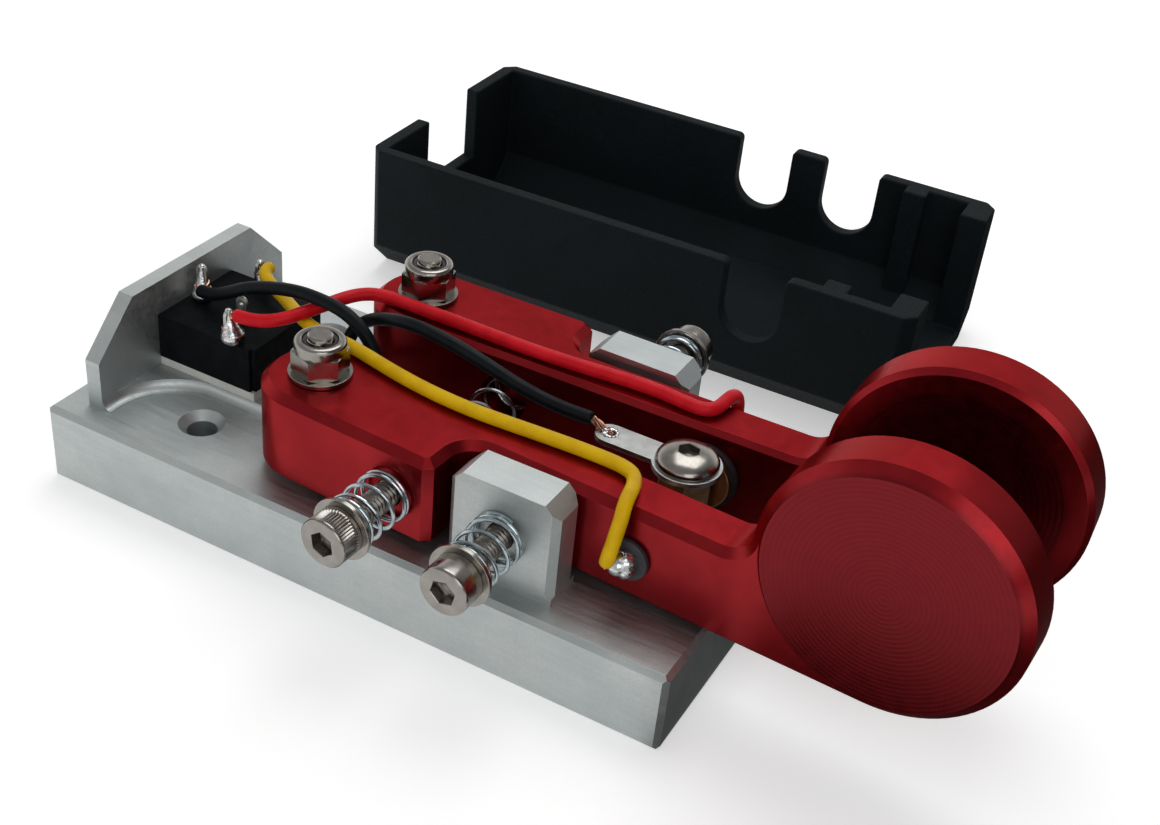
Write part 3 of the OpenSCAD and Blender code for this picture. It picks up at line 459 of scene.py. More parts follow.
def plastic(name, low, high, rough_low, rough_high, specular=0.5, grain=0.3):
    """Moulded plastic or cable insulation."""
    f = Finish(name, Specular_IOR_Level=specular)
    f.colour(f.mix(f.spread(f.noise(2.4, 3), 0, 1), low, high))
    f.rough(f.spread(f.noise(1.1, 3), rough_low, rough_high))
    return f.relief(f.noise(grain, 2), 0.01)


def black_nylon():
    """Nylon sintered from powder: fine grains all over."""
    f = Finish("black_nylon", Specular_IOR_Level=0.12)
    grains = f.noise(0.3, 2, 0.6)
    cloud = f.noise(12, 3)
    tone = f.mix(f.spread(cloud, 0, 1), *tones("black_nylon", (0.002, 0.003, 0.0035)))
    f.colour(f.mix(f.spread(grains, 0, 0.5, 0.55, 0.75), tone, (0.02, 0.028, 0.032)))
    f.rough(f.spread(grains, 0.62, 0.8))
    return f.relief(grains, 0.09)


# Each metal's darker and lighter tone, its least and greatest roughness, and the depth of its grain

METALS = {
    "stainless": ((0.28, 0.262, 0.238), (0.34, 0.318, 0.29), 0.18, 0.25, 0.0015),
    # the threads' darker tones are painted shade standing in for the shade in their grooves
    "thread_steel": ((0.17, 0.155, 0.14), (0.23, 0.21, 0.19), 0.3, 0.4, 0.001),
    "spring_wire": ((0.3, 0.37, 0.4), (0.5, 0.56, 0.58), 0.14, 0.26),
    "tinned_metal": ((0.46, 0.48, 0.47), (0.56, 0.58, 0.56), 0.3, 0.42, 0.001),
    "brass": ((0.5, 0.28, 0.14), (0.66, 0.41, 0.23), 0.28, 0.4),
    "bronze": ((0.3, 0.18, 0.08), (0.42, 0.27, 0.13), 0.4, 0.52),
    "copper": ((0.5, 0.26, 0.16), (0.72, 0.45, 0.33), 0.2, 0.34),
}

# The same of each plastic, then its shine and the size of its grain

PLASTICS = {
    "insulation": ((0.018, 0.016, 0.02), (0.035, 0.031, 0.037), 0.5, 0.65),
    "jack_plastic": ((0.0025, 0.0035, 0.0045), (0.005, 0.0065, 0.0075), 0.45, 0.6, 0.05, 0.4),
    "pale_plastic": ((0.5, 0.5, 0.47), (0.6, 0.6, 0.57), 0.45, 0.6),
}

# How much lighter each wire's second tone is, its greatest roughness and its shine

WIRES = {
    "black_insulation": ((0.0025, 0.0035, 0.004), 0.48, 0.12),
    "yellow_insulation": ((0.1, 0.08, 0.001), 0.46, 0.14),
    "red_insulation": ((0.1, 0.005, 0.007), 0.46, 0.14),
}

SPECIALS = {
    "machined_aluminium": machined_aluminium,
    "red_near": lambda: red_anodised("near"),
    "red_far": lambda: red_anodised("far"),
    "solder": solder_finish,
    "black_nylon": black_nylon,
}
MADE = {}


def paint(name):
    """The finish of that name, made once."""
    if name not in MADE:
        if name in METALS:
            finish = turned_metal(name, *METALS[name])
        elif name in PLASTICS:
            finish = plastic(name, *PLASTICS[name])
        elif name in WIRES:
            lighter, rough, shine = WIRES[name]
            finish = plastic(name, *tones(name, lighter), 0.36, rough, shine)
        else:
            finish = SPECIALS[name]()
        MADE[name] = finish.material
    return MADE[name]


def dress(node, finish, edge=0.0):
    """Gives a CAD node its finish and, with an edge width in millimetres, eases its sharp edges."""
    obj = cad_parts[node]
    obj.data.materials.clear()
    obj.data.materials.append(paint(finish))
    if not edge:
        return obj
    if "custom_normal" in obj.data.attributes:
        obj.data.attributes.remove(obj.data.attributes["custom_normal"])
    obj.data.polygons.foreach_set("use_smooth", [True] * len(obj.data.polygons))
    weld = obj.modifiers.new("Close seams", "WELD")
    weld.merge_threshold = 1e-6
    flat = obj.modifiers.new("Merge flats", "DECIMATE")
    flat.decimate_type = "DISSOLVE"
    flat.angle_limit = math.radians(0.4)
    soft = obj.modifiers.new("Ease edges", "BEVEL")
    soft.width = edge * MM
    soft.segments = 2
    soft.limit_method = "ANGLE"
    soft.angle_limit = math.radians(28)
    soft.harden_normals = True
    return obj


# Settings


class KeyHardware(bpy.types.PropertyGroup):
    """Sizes of the screws, nuts and springs."""

    head_width: FloatProperty(
        name="Head Width", description="Diameter of a cap screw's head", default=0.0055, unit="LENGTH")
    head_height: FloatProperty(
        name="Head Height", description="Height of a cap screw's head", default=0.003, unit="LENGTH")
    socket_width: FloatProperty(
        name="Socket Width", description="Across the flats of its socket", default=0.0025, unit="LENGTH")
    thread_width: FloatProperty(
        name="Thread Width", description="Outer diameter of the threads", default=0.003, unit="LENGTH")
    thread_pitch: FloatProperty(
        name="Thread Pitch", description="Rise of the threads in a turn", default=0.0005, unit="LENGTH")
    knurls: IntProperty(
        name="Knurls", description="Number of ridges round the tension screw's head", default=52, min=12)
    spring_width: FloatProperty(
        name="Spring Width", description="Outer diameter of the springs", default=0.0061, unit="LENGTH")
    return_width: FloatProperty(
        name="Return Width", description="The same of the return spring", default=0.0053, unit="LENGTH")
    spring_wire: FloatProperty(
        name="Spring Wire", description="Diameter of the springs' wire", default=0.00046, unit="LENGTH")


class KeyWiring(bpy.types.PropertyGroup):
    """Sizes of the wires."""

    width: FloatProperty(
        name="Wire Width", description="Diameter over the insulation", default=0.00155, unit="LENGTH")
    strand: FloatProperty(
        name="Strand Width", description="Diameter of one bare strand", default=0.0002, unit="LENGTH")


class KeyEdges(bpy.types.PropertyGroup):
    """Widths of the eased edges."""

    metal: FloatProperty(
        name="Metal Edge", description="Broken edges of machined parts", default=0.00012, unit="LENGTH")
    base: FloatProperty(
        name="Base Edge", description="Broken edges of the milled base", default=0.0002, unit="LENGTH")
    pad_foot: FloatProperty(
        name="Pad Foot", description="Radius at the foot of the pad", default=0.00115, unit="LENGTH")
    cover: FloatProperty(
        name="Cover Edge", description="Soft edges of the cover", default=0.0003, unit="LENGTH")


class KeyColours(bpy.types.PropertyGroup):
    """Darker tones of the finishes."""

    machined_aluminium: FloatVectorProperty(
        name="Base", description="Blasted aluminium", default=(0.47, 0.505, 0.505), subtype="COLOR")
    red_anodised: FloatVectorProperty(
        name="Levers", description="Anodised aluminium", default=(0.25, 0.006, 0.01), subtype="COLOR")
    black_nylon: FloatVectorProperty(
        name="Cover", description="Sintered nylon", default=(0.0035, 0.006, 0.0075), subtype="COLOR")
    black_insulation: FloatVectorProperty(
        name="Black Wire", description="Its insulation", default=(0.0025, 0.004, 0.0055), subtype="COLOR")
    yellow_insulation: FloatVectorProperty(
        name="Yellow Wire", description="Its insulation", default=(0.58, 0.34, 0.001), subtype="COLOR")
    red_insulation: FloatVectorProperty(
        name="Red Wire", description="Its insulation", default=(0.52, 0.004, 0.011), subtype="COLOR")


class KeyStudio(bpy.types.PropertyGroup):
    """Camera, lamps and backdrop."""

    target: FloatVectorProperty(
        name="Aim", description="Point that the camera is aimed at",
        default=(-0.003025, 0.045355, -0.012896), unit="LENGTH")
    distance: FloatProperty(
        name="Distance", description="From the camera to its aim", default=0.232278, unit="LENGTH")
    azimuth: FloatProperty(
        name="Azimuth", description="Turn round the key", default=math.radians(25.285), subtype="ANGLE")
    elevation: FloatProperty(
        name="Elevation", description="Above the horizon", default=math.radians(34.218), subtype="ANGLE")
    roll: FloatProperty(
        name="Roll", description="Turn about the aim", default=math.radians(6.253), subtype="ANGLE")
    lens: FloatProperty(
        name="Lens", description="Focal length on a sensor 36 mm wide", default=49.81, unit="CAMERA")
    key_power: FloatProperty(
        name="Key Lamp", description="Power of the large lamp overhead", default=1.15, unit="POWER")
    fill_power: FloatProperty(
        name="Fill Lamp", description="Power of the soft lamp in front", default=0.85, unit="POWER")
    ceiling: FloatProperty(
        name="Ceiling", description="Brightness of the studio overhead", default=0.36, subtype="FACTOR")
    right_wall: FloatProperty(
        name="Right Wall", description="Brightness of the right wall", default=0.2, subtype="FACTOR")


# Operators


def pad_outline(out):
    """Plan of the jack's pad, this far out from its sides, with its run-out along the wall."""
    side = [Vector((WALL_FACE - 0.3, -RUNOUT_END, 0)), Vector((WALL_FACE + out, -RUNOUT_END, 0))]
    centre = Vector((WALL_FACE + PAD_RUNOUT, -PAD_HALF_WIDTH - PAD_RUNOUT, 0))
    reach = PAD_RUNOUT - out
    for k in range(17):
        angle = math.pi / 2 * k / 16
        side.append(centre + Vector((-reach * math.cos(angle), reach * math.sin(angle), 0)))
    corner = Vector((WALL_FACE + PAD_LENGTH, -PAD_HALF_WIDTH, 0))
    for k in range(7):
        angle = math.pi / 2 * k / 6
        side.append(corner + Vector((out * math.sin(angle), -out * math.cos(angle), 0)))
    return side + [Vector((p.x, -p.y, 0)) for p in reversed(side)]


def pad_foot(radius):
    """The top of the jack's pad and the hollow curve round its foot."""
    angles = (0, 0.2, 0.45, 0.75, 1.05, 1.3, 1.57)
    levels = [(radius * (1 - math.cos(a)), PAD_TOP - radius * math.sin(a)) for a in angles]
    levels.append((radius, BASE_TOP - 0.2))
    points, faces, above = [], [], None
    for out, height in levels:
        outline = [p + Vector((0, 0, height)) for p in pad_outline(out)]
        ring = list(range(len(points), len(points) + len(outline)))
        points += outline
        faces += bridge(ring, above) if above else [ring]
        above = ring
    faces.append(above[::-1])
    return points, faces


class KEY_OT_base(bpy.types.Operator):
    """Finish the milled base with its posts and wall, and round the foot of its pad"""

    bl_idname = "key.base"
    bl_label = "Base"

    def execute(self, context):
        edges = context.scene.key_edges
        dress("base_block", "machined_aluminium", edges.base / MM)
        piece = solid("pad_foot", pad_foot(edges.pad_foot / MM), "machined_aluminium", 50)
        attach(piece, "base")
        return {"FINISHED"}


class KEY_OT_levers(bpy.types.Operator):
    """Finish both levers, their bushes and insulators"""

    bl_idname = "key.levers"
    bl_label = "Levers"

    def execute(self, context):
        edge = context.scene.key_edges.metal / MM
        for side in ("near", "far"):
            dress("lever_" + side, "red_" + side, edge)
            dress("bush_" + side, "bronze", edge / 2)
            dress("insulator_" + side, "insulation", edge / 2)
            dress("insulator_bush_" + side, "insulation", edge)
        return {"FINISHED"}


def lock_nut():
    """A hexagon nut with a round collar for its locking ring."""
    across, hex_high, collar, bore = 5.5, 2.5, 2.85, 1.7
    top = NUT_BOTTOM + 4.0
    flats = hexagon(across)

    def chamfered(angle, height):
        """A hexagon whose corners are cut back by a cone at both ends."""
        near_end = min(height - NUT_BOTTOM, NUT_BOTTOM + hex_high + 0.25 - height)
        return min(flats(angle, height), across / 2 + 0.06 + 1.75 * near_end)

    shares = (0, 0.03, 0.07, 0.11, 0.16, 0.22, 0.5, 0.8, 0.86, 0.92, 0.97, 1.0)
    nut = [(0, NUT_BOTTOM), (bore, NUT_BOTTOM)]
    nut += [(chamfered, NUT_BOTTOM + hex_high * t) for t in shares]
    hex_top = NUT_BOTTOM + hex_high
    nut += [(collar - 0.02, hex_top + 0.06), (collar, hex_top + 0.2), (collar, top - 0.62)]
    for angle in (0.3, 0.6, 0.9, 1.2, 1.57):
        nut.append((collar - 0.5 * (1 - math.cos(angle)), top - 0.55 + 0.5 * math.sin(angle)))
    nut += [(2.12, top - 0.07), (2.0, top - 0.16), (1.95, top - 0.5)]
    nut += [(1.55, top - 0.55), (0, top - 0.55)]
    return lathe(nut, 72)


def lock_ring(r):
    """The nut's locking ring, round a bolt of this radius."""
    top = NUT_BOTTOM + 4.0
    outer = 1.93
    ring = [(r + 0.02, top - 0.6), (outer, top - 0.6), (outer, top - 0.32), (1.8, top - 0.22)]
    return lathe([*ring, (r + 0.02, top - 0.3)], 40)


def pivot_bolt(r, pitch):
    """The bolt from its head under the base to its chamfered end in the nut."""
    thread_from = NUT_BOTTOM + 3.1
    head, head_top, end = 2.75, 3.3, 27.0
    worm = thread(r, 0.22, pitch)
    bolt = [(0, 0.3), (head, 0.3), (head, head_top), (r, head_top), (r, thread_from)]
    bolt += [(worm, thread_from + pitch * k / 6) for k in range(1, 11)]
    bolt += [(r - 0.12, end - 0.14), (r - 0.32, end), (0, end)]
    return lathe(bolt, 36)


class KEY_OT_pivots(bpy.types.Operator):
    """Build the lock nuts and bolts that hold the levers, with their washers"""

    bl_idname = "key.pivots"
    bl_label = "Pivots"

    def execute(self, context):
        sizes = context.scene.key_hardware
        dress("pivot_washers", "stainless", 0.06)
        r = sizes.thread_width / MM / 2
        parts = [
            ("lock_nut_", lock_nut(), 12, "stainless", 24, "pivot_nuts"),
            ("lock_ring_", lock_ring(r), 0, "insulation", 32, None),
            ("pivot_bolt_", pivot_bolt(r, sizes.thread_pitch / MM), 0, "stainless", 32, "pivot_bolts"),
        ]
        for side, y in (("near", -PIVOT_Y), ("far", PIVOT_Y)):
            for name, form, roll, slot, crease, node in parts:
                piece = solid(name + side, moved(form, (PIVOT_X, y, 0), roll), slot, crease)
                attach(piece, "base")
                if node and side == "near":
                    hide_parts(node)
        return {"FINISHED"}


def cap_screw(sizes, length, knurled):
    """A socket cap screw with its head from 0 upwards and its thread from 0 down."""
    r = sizes.thread_width / MM / 2
    pitch = sizes.thread_pitch / MM
    head = sizes.head_width / MM / 2
    high = sizes.head_height / MM
    socket_width = sizes.socket_width / MM
    socket = hexagon(socket_width)
    knurl_depth, knurl_fade, thread_depth, easing = 0.14, 0.25, 0.2, 0.4

    def ridged(angle, height):
        """Ridges that fade out towards both ends of the head."""
        low_end = max(0.0, min(1.0, (height - 0.55) / knurl_fade))
        high_end = max(0.0, min(1.0, (high - knurl_fade - height) / knurl_fade))
        wave = 0.5 - 0.5 * math.cos(sizes.knurls * angle)
        return head - knurl_depth * low_end * high_end * wave

    worm = thread(r, thread_depth, pitch)
    shank = [(0, -length), (r - 0.4, -length), (r - 0.28, -length + 0.12)]
    start = -length + 0.25
    rings = int((length - 0.55) / pitch * 8)
    shank += [(worm, start + pitch * k / 8) for k in range(rings)]
    shank += [(r - 0.02, -0.24), (r, 0)]
    side = [(r, 0), (head - 0.12, 0), (head - 0.03, 0.04), (head, 0.14)]
    if knurled:
        side += [(ridged, 0.55 + 0.3 * k / 2) for k in range(3)]
        side += [(ridged, high - 0.5 + 0.25 * k / 2) for k in range(3)]
    else:
        side += [(head, high - 0.5)]
    for angle in (0, 0.4, 0.8, 1.2, 1.57):
        side.append((head - easing * (1 - math.cos(angle)), high - easing * (1 - math.sin(angle))))
    side += [(socket_width / 2 + 0.32, high), (lambda a, z: socket(a, z) + 0.05, high)]
    side += [(socket, high - 0.07), (socket, high - 1.4), (0.9, high - 1.45), (0, high - 1.9)]
    count = sizes.knurls * 4 if knurled else 72
    return joined(lathe(shank, 40), lathe(side, count))


class KEY_OT_screws(bpy.types.Operator):
    """Build the three adjusting screws and finish their washers"""

    bl_idname = "key.screws"
    bl_label = "Adjusting Screws"

    def execute(self, context):
        sizes = context.scene.key_hardware
        for node in ("tension_washer", "stop_washer_near", "stop_washer_far"):
            dress(node, "stainless", 0.07)
        dress("spring_cup", "stainless", 0.05)
        tension_seat = lever_point("near", TENSION_REACH, 14.1, SCREW_Z)
        near_seat = Vector((STOP_X, -24.6, SCREW_Z))
        far_seat = Vector((STOP_X, 25.6, SCREW_Z))
        screws = [
            ("tension_screw", tension_seat, lever_out("near"), 16.2, True, "tension_turner", 8),
            ("stop_screw_near", near_seat, Vector((0, -1, 0)), 12.86, False, "near_stop_turner", -14),
            ("stop_screw_far", far_seat, Vector((0, 1, 0)), 14.55, False, "far_stop_turner", 5),
        ]
        for node, seat, away, length, knurled, body, roll in screws:
            form = moved(cap_screw(sizes, length, knurled), seat, roll, away)
            piece = solid(node + "_turned", form, "stainless", 26)
            # the threaded shank takes a darker tone: painted shade for its thread grooves
            piece.data.materials.append(paint("thread_steel"))
            for face in piece.data.polygons:
                if (face.center / MM - seat).dot(away) < -0.1:
                    face.material_index = 1
            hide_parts(node)
            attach(piece, body)
        return {"FINISHED"}


def coil(width, wire, length, closed_start, open_turns, closed_end, turn):
    """A compression spring along Z from 0 to its length, with closed coils at its ends."""
    reach = (width - wire) / 2
    per_turn = 36
    total = closed_start + open_turns + closed_end
    count = int(total * per_turn)
    tight = wire * 1.04
    heights = [0.0]
    for k in range(count):
        t = (k + 0.5) / per_turn
        rise = min(t - closed_start, total - closed_end - t) / 0.25 + 0.5
        rise = max(0.0, min(1.0, rise))
        heights.append(heights[-1] + rise * rise * (3 - 2 * rise))
    free = (length - wire - tight * total) / heights[-1]
    path = []
    for k in range(count + 1):
        angle = math.tau * k / per_turn + turn
        z = wire / 2 + tight * k / per_turn + heights[k] * free
        path.append(Vector((reach * math.cos(angle), reach * math.sin(angle), z)))
    return sweep(path, [wire / 2] * len(path), COIL_SIDES)


def stretch_of(points, first, last):
    """The rings from first to last of a coil's points, closed at both ends."""
    sides = COIL_SIDES
    part = points[first * sides:(last + 1) * sides]
    rings = [list(range(k * sides, (k + 1) * sides)) for k in range(last - first + 1)]
    faces = [rings[0][::-1]]
    for low, high in zip(rings, rings[1:]):
        faces += bridge(low, high)
    return part, [*faces, rings[-1]]


class KEY_OT_springs(bpy.types.Operator):
    """Build the springs, each set between the two parts that it stands between"""

    bl_idname = "key.springs"
    bl_label = "Springs"

    def execute(self, context):
        sizes = context.scene.key_hardware
        wire = sizes.spring_wire / MM
        near_post = Vector((STOP_X, -POST_FACE, SCREW_Z))
        far_post = Vector((STOP_X, POST_FACE, SCREW_Z))
        block = lever_point("near", TENSION_REACH, BLOCK_FACE, SCREW_Z)
        springs = [
            ("tension_spring", block, lever_out("near"), 7.3, (1.6, 2.4, 1.9), 200,
             "near_arm", "tension_carriage"),
            ("stop_spring_near", near_post, Vector((0, -1, 0)), 7.2, (2.0, 2.3, 1.4), 60,
             "base", "near_stop_carriage"),
            ("stop_spring_far", far_post, Vector((0, 1, 0)), 8.2, (1.6, 2.6, 1.6), 0,
             "base", "far_stop_carriage"),
        ]
        for node, seat, away, length, turns, roll, still, moving in springs:
            form = coil(sizes.spring_width / MM, wire, length, *turns, math.radians(roll))
            piece = solid(node + "_wound", moved(form, seat, 0, away), "spring_wire")
            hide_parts(node)
            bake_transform(piece)
        self.return_spring(sizes.return_width / MM, wire)
        return {"FINISHED"}

    def return_spring(self, width, wire):
        """The spring between the levers, in three parts."""
        low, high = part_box("return_spring")
        start = Vector(((low.x + high.x) / 2, low.y, (low.z + high.z) / 2)) / MM
        length = (high.y - low.y) / MM
        closed_turns = 1.4
        form = coil(width, wire, length, closed_turns, 4.2, closed_turns, 0.4)
        points, _ = moved(form, start, 0, (0, 1, 0))
        rings = len(points) // COIL_SIDES
        seat, middle = rings * 36 // 100, rings // 2
        seat_at, middle_at, end_at = 0.36 * length, length / 2, length - closed_turns * wire
        parts = [
            ("cup", 0, seat, "near_arm", "tension_carriage", seat_at, closed_turns * wire),
            ("near", seat, middle, "base", "near_arm", middle_at, seat_at),
            ("far", middle, rings - 1, "base", "far_arm", middle_at, end_at),
        ]
        for name, first, last, still, moving, still_at, moving_at in parts:
            piece = solid("return_spring_" + name, stretch_of(points, first, last), "spring_wire")
            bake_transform(piece)
            if name == "cup":
                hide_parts("return_spring")


class KEY_OT_contacts(bpy.types.Operator):
    """Finish the contact discs and set the solder on their stems"""

    bl_idname = "key.contacts"
    bl_label = "Contacts"

    def execute(self, context):
        for side in ("near", "far"):
            dress("contact_" + side, "brass", 0.08)
            seat = lever_point(side, CONTACT_REACH, 0.4, CONTACT_Z)
            out = lever_out(side)
            along = Vector((1, 0, 0))
            lift = Vector((0, 0, 1))
            places = [
                (seat + out * 0.2, 1.5),
                (seat + out * 0.9 - along * 0.35 - lift * 0.2, 1.15),
                (seat + out * 0.75 + along * 0.5 - lift * 0.55, 0.95),
                (seat + out * 0.7 + along * 0.25 + lift * 0.7, 0.7),
                (seat + out * 0.7 - along * 0.9 - lift * 0.8, 0.62),
            ]
            piece = drop("contact_solder_drop_" + side, [ball(c, r) for c, r in places], 3)
            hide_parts("contact_solder_" + side)
            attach(piece, side + "_arm")
        return {"FINISHED"}


def button_screw(top):
    """A domed socket screw from the lug up to this height."""
    rim, mouth, hollow = 3.45, 1.36, 0.9
    socket = hexagon(2.1)
    rise = (top - LUG_TOP - 0.3) / math.sqrt(1 - (mouth / rim) ** 2)
    profile = [(0, LUG_TOP), (rim - 0.1, LUG_TOP), (rim, LUG_TOP + 0.07), (rim + 0.01, LUG_TOP + 0.2)]
    for k in range(13):
        angle = math.acos(mouth / rim) * k / 12
        profile.append((rim * math.cos(angle), LUG_TOP + 0.28 + rise * math.sin(angle)))
    lip = profile[-1][1]
    profile += [(lambda a, z: socket(a, z) + 0.06, lip + 0.02), (socket, lip - 0.06)]
    profile += [(socket, lip - hollow), (0.6, lip - hollow - 0.05), (0, lip - hollow - 0.2)]
    return lathe([(r, min(z, top)) for r, z in profile], 60)


class KEY_OT_post(bpy.types.Operator):
    """Finish the centre post and its lug and build the button screw on it"""

    bl_idname = "key.post"
    bl_label = "Centre Post"

    def execute(self, context):
        dress("centre_post", "brass", 0.1)
        dress("solder_lug", "tinned_metal", 0.06)
        low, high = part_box("post_screw")
        middle = Vector((low.x + high.x, low.y + high.y, 0)) / 2 / MM
        form = moved(button_screw(high.z / MM - 0.3), middle, 20)
        piece = solid("button_screw", form, "stainless", 26)
        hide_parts("post_screw")
        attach(piece, "base")
        return {"FINISHED"}


def tag_solder(x, y, high, skirt, lean):
    """Balls that taper up a tag of the jack from a wide foot."""
    forms = []
    for k in range(11):
        t = k / 10
        foot = 1 - t
        centre = (x + lean[0] * foot**2, y + lean[1] * foot**2, JACK_TOP + 0.7 + (high - 0.95) * t)
        forms.append(ball(centre, 0.46 + skirt * foot**1.6, (1, 1, 0.8)))
    return forms


def tag_windings(x, y, high, skirt, lean):
    """Bare strands wound round the solder on a tag."""
    windings = []
    for start, lift in ((0.4, 0.9), (1.7, 1.15), (3.2, 1.4), (4.4, 0.75)):
        path = []
        for k in range(25):
            t = k / 24
            angle = start + 3.9 * t
            height = lift + 0.9 * t
            foot = 1 - height / high
            reach = 0.5 + skirt * foot**1.6
            along = x + lean[0] * foot**2 + reach * math.cos(angle)
            across = y + lean[1] * foot**2 + reach * math.sin(angle)
            path.append(Vector((along, across, JACK_TOP + height)))
        windings.append(sweep(path, [0.12] * len(path), 8))
    return joined(*windings)


class KEY_OT_jack(bpy.types.Operator):
    """Finish the jack and its tags and set the solder on them"""

    bl_idname = "key.jack"
    bl_label = "Jack"

    def execute(self, context):
        dress("jack_body", "jack_plastic", 0.12)
        dress("jack_strip", "pale_plastic", 0.05)
        dress("jack_ring", "tinned_metal")
        dress("jack_pins", "tinned_metal", 0.04)
        tags = [
            ("sleeve", -32.7, -0.5, 4.4, 0.8, (0.25, -0.45)),
            ("far", -29.3, 6.0, 3.3, 0.8, (0.5, 0.1)),
            ("near", -24.3, -6.0, 4.0, 1.05, (0.5, 0.0)),
        ]
        for name, *tag in tags:
            piece = drop("tag_solder_" + name, tag_solder(*tag), 4)
            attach(piece, "base")
            if name == "sleeve":
                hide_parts("pin_solder")
            wound = solid("tag_strands_" + name, tag_windings(*tag), "copper")
            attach(wound, "base")
        return {"FINISHED"}


class KEY_OT_wires(bpy.types.Operator):
    """Lay the three wires with their bare ends and the solder on the lug"""

    bl_idname = "key.wires"
    bl_label = "Wires"

    def execute(self, context):
        sizes = context.scene.key_wiring
        radius = sizes.width / MM / 2
        strand = sizes.strand / MM
        wires = [
            ("black", BLACK_ROUTE, "base", (-33.1, -1.1, 19.9), (22.1, 0.0, 20.45)),
            ("yellow", YELLOW_ROUTE, "near_arm", (-28.9, 6.3, 20.6), (30.2, -14.0, 15.7)),
            ("red", RED_ROUTE, "far_arm", (-24.2, -6.0, 21.0), (31.0, 12.6, 17.2)),
        ]
        for colour, route, far_body, first, last in wires:
            name, slot = "wire_" + colour, colour + "_insulation"
            line = relaxed(smooth_route(route))
            path, radii = round_ends(line, radius)
            piece = solid(name + "_laid", sweep(path, radii, 20), slot, 60)
            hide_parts(name)
            bare = strands(name + "_start", line[0], first, strand)
            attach(bare, "base")
            tip = strands(name + "_end", line[-1], last, strand)
            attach(tip, far_body)
            if far_body == "base":
                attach(piece, "base")
            else:
                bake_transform(piece)
        blob = drop("lug_solder_drop", self.lug_solder(), 3, 0.07)
        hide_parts("lug_solder")
        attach(blob, "base")
        return {"FINISHED"}

    def lug_solder(self):
        """Small balls in a ring round the lug's hole, and one on its tail."""
        hole_x, reach = 21.95, 0.72
        forms = []
        for k in range(10):
            angle = math.tau * k / 10
            centre = (hole_x + reach * math.cos(angle), reach * math.sin(angle), LUG_TOP + 0.02)
            forms.append(ball(centre, 0.3 - 0.1 * math.cos(angle), (1, 1, 0.55)))
        return [*forms, ball((21.3, 0, LUG_TOP + 0.15), 0.5, (1.2, 0.9, 0.6))]


class KEY_OT_cover(bpy.types.Operator):
    """Finish the cover that stands upside down behind the key"""

    bl_idname = "key.cover"
    bl_label = "Cover"

    def execute(self, context):
        dress("cover", "black_nylon", context.scene.key_edges.cover / MM)
        return {"FINISHED"}


def area_lamp(name, place, aim, size, power):
    """A square soft lamp aimed at a point."""
    data = bpy.data.lights.new(name, "AREA")
    data.shape = "SQUARE"
    data.size = size
    data.energy = power
    obj = bpy.data.objects.new(name, data)
    bpy.context.scene.collection.objects.link(obj)
    obj.location = place
    obj.rotation_euler = (Vector(aim) - Vector(place)).to_track_quat("-Z", "Y").to_euler()


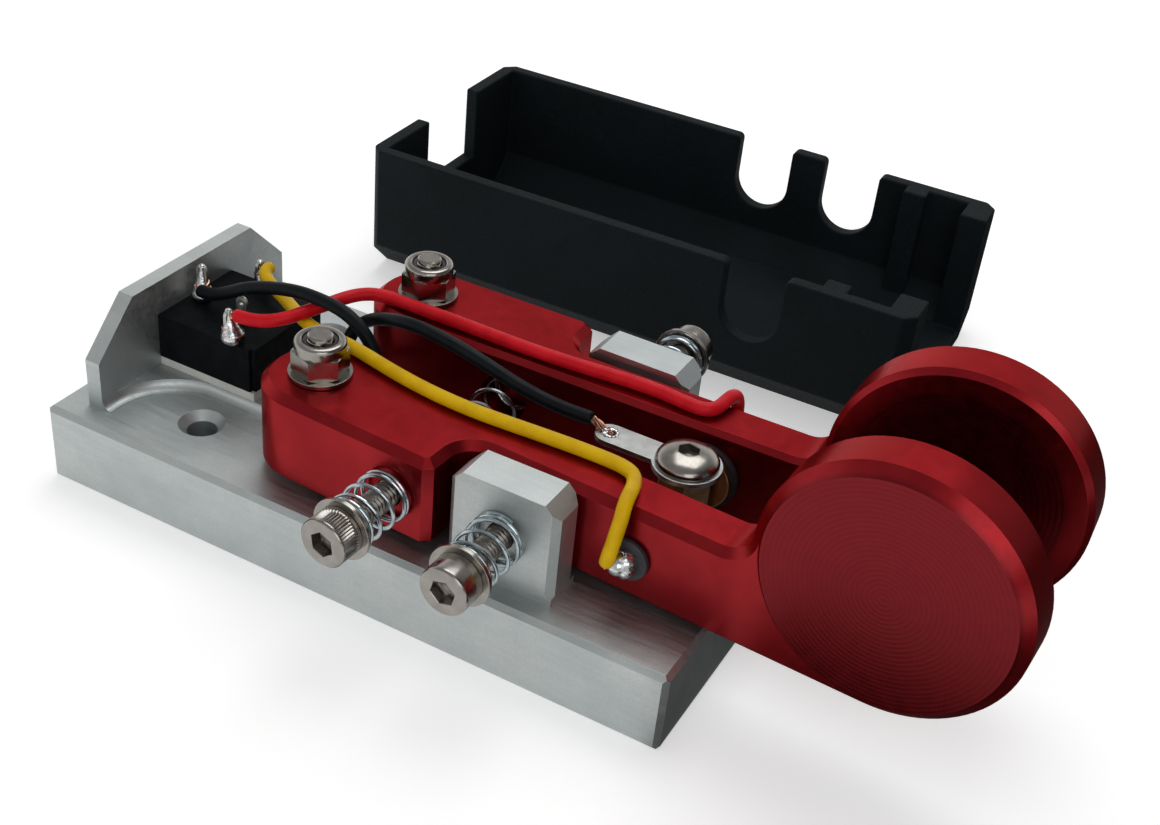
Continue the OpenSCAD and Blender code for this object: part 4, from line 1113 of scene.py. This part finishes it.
class KEY_OT_studio(bpy.types.Operator):
    """Set up the floor, the lamps, the backdrop and the camera"""

    bl_idname = "key.studio"
    bl_label = "Studio"

    def execute(self, context):
        scene = context.scene
        studio = scene.key_studio
        scene.view_settings.view_transform = "Standard"
        self.floor(context)
        self.backdrop(scene, studio)
        middle = (0.01, 0.02, 0.01)
        area_lamp("key_lamp", (-0.03, 0.21, 0.5), middle, 0.36, studio.key_power)
        area_lamp("fill_lamp", (0.36, -0.38, 0.3), middle, 0.4, studio.fill_power)
        self.camera(scene, studio)
        return {"FINISHED"}

    def floor(self, context):
        """White paper that shows the shadow; reflections see it dimmer behind the key at the right."""
        bpy.ops.mesh.primitive_plane_add(size=6, location=(0, 0, 0))
        floor = context.active_object
        floor.name = "floor"
        tone, dimmest, glow = 0.8, 0.06, 0.42
        paper = Finish("white_paper", Roughness=0.9, Specular_IOR_Level=0.0, Emission_Color=(1, 1, 1, 1))
        seen = paper.add("ShaderNodeLightPath").outputs["Is Camera Ray"]
        split = paper.add("ShaderNodeSeparateXYZ", {0: paper.place}).outputs
        right = paper.spread(split["X"], 0, 1, 0.036, 0.042)
        back = paper.spread(split["Y"], 0, 1, -0.05, -0.025)
        dim = paper.spread(paper.math("MULTIPLY", right, back), tone, dimmest, 0, 1)
        shade = paper.add("ShaderNodeMix", {0: seen, 6: dim, 7: (tone, tone, tone, 1)}, data_type="RGBA")
        faint = paper.math("MULTIPLY", dim, glow)
        light = paper.add("ShaderNodeMix", {0: seen, 2: faint, 3: glow})
        paper.feed(paper.surface, {"Base Color": shade.outputs[2], "Emission Strength": light.outputs[0]})
        floor.data.materials.append(paper.material)

    def backdrop(self, scene, studio):
        """White walls round the object, dimmer overhead and at the right."""
        scene.world = bpy.data.worlds.new("studio_world")
        sky = Nodes(scene.world)
        way = sky.add("ShaderNodeTexCoord").outputs["Generated"]
        split = sky.add("ShaderNodeSeparateXYZ", {0: way}).outputs
        overhead = sky.spread(split["Z"], 1, studio.ceiling, 0.22, 0.62)
        right = sky.spread(split["X"], 1, studio.right_wall, 0.25, 0.7)
        strength = sky.math("MULTIPLY", overhead, right)
        sky.feed(sky.tree.nodes["Background"], {"Color": (1, 1, 1, 1), "Strength": strength})

    def camera(self, scene, studio):
        """The camera at the photograph's angle."""
        data = bpy.data.cameras.new("camera")
        data.sensor_width = 36
        data.lens = studio.lens
        data.shift_x = -0.002
        data.shift_y = 0.0046
        data.clip_start = 0.005
        data.clip_end = 50
        camera = bpy.data.objects.new("camera", data)
        scene.collection.objects.link(camera)
        azimuth, elevation, roll = studio.azimuth, studio.elevation, studio.roll
        level = Vector((math.sin(azimuth), -math.cos(azimuth), 0))
        back = level * math.cos(elevation) + Vector((0, 0, math.sin(elevation)))
        right = Vector((0, 0, 1)).cross(back).normalized()
        up = back.cross(right)
        rolled_right = right * math.cos(roll) + up * math.sin(roll)
        rolled_up = up * math.cos(roll) - right * math.sin(roll)
        turn = Matrix((rolled_right, rolled_up, back)).transposed()
        place = Vector(studio.target) + back * studio.distance
        camera.matrix_world = Matrix.Translation(place) @ turn.to_4x4()
        scene.camera = camera


class KEY_PT_panel(bpy.types.Panel):
    """Sizes and steps of the telegraph key"""

    bl_label = "Telegraph Key"
    bl_idname = "KEY_PT_panel"
    bl_space_type = "VIEW_3D"
    bl_region_type = "UI"
    bl_category = "Key"

    def draw(self, context):
        for group in GROUPS:
            settings = getattr(context.scene, group)
            box = self.layout.box()
            box.label(text=GROUPS[group].__doc__)
            for name in GROUPS[group].__annotations__:
                box.prop(settings, name)
        column = self.layout.column()
        for operator in STEPS:
            column.operator(operator.bl_idname)


GROUPS = {
    "key_hardware": KeyHardware,
    "key_wiring": KeyWiring,
    "key_edges": KeyEdges,
    "key_colours": KeyColours,
    "key_studio": KeyStudio,
}
STEPS = [
    KEY_OT_base, KEY_OT_levers, KEY_OT_pivots, KEY_OT_screws, KEY_OT_springs, KEY_OT_contacts,
    KEY_OT_post, KEY_OT_jack, KEY_OT_wires, KEY_OT_cover, KEY_OT_studio,
]


def register():
    """Makes the settings, the steps and the panel known to Blender."""
    for cls in [*GROUPS.values(), *STEPS, KEY_PT_panel]:
        bpy.utils.register_class(cls)
    for name, cls in GROUPS.items():
        setattr(bpy.types.Scene, name, PointerProperty(type=cls))


def unregister():
    """Takes them away again."""
    for name in GROUPS:
        delattr(bpy.types.Scene, name)
    for cls in reversed([*GROUPS.values(), *STEPS, KEY_PT_panel]):
        bpy.utils.unregister_class(cls)


def main():
    """Runs every step in order."""
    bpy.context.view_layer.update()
    register()
    bpy.ops.key.base()
    bpy.ops.key.levers()
    bpy.ops.key.pivots()
    bpy.ops.key.screws()
    bpy.ops.key.springs()
    bpy.ops.key.contacts()
    bpy.ops.key.post()
    bpy.ops.key.jack()
    bpy.ops.key.wires()
    bpy.ops.key.cover()
    bpy.ops.key.studio()


if __name__ == "__main__":
    main()
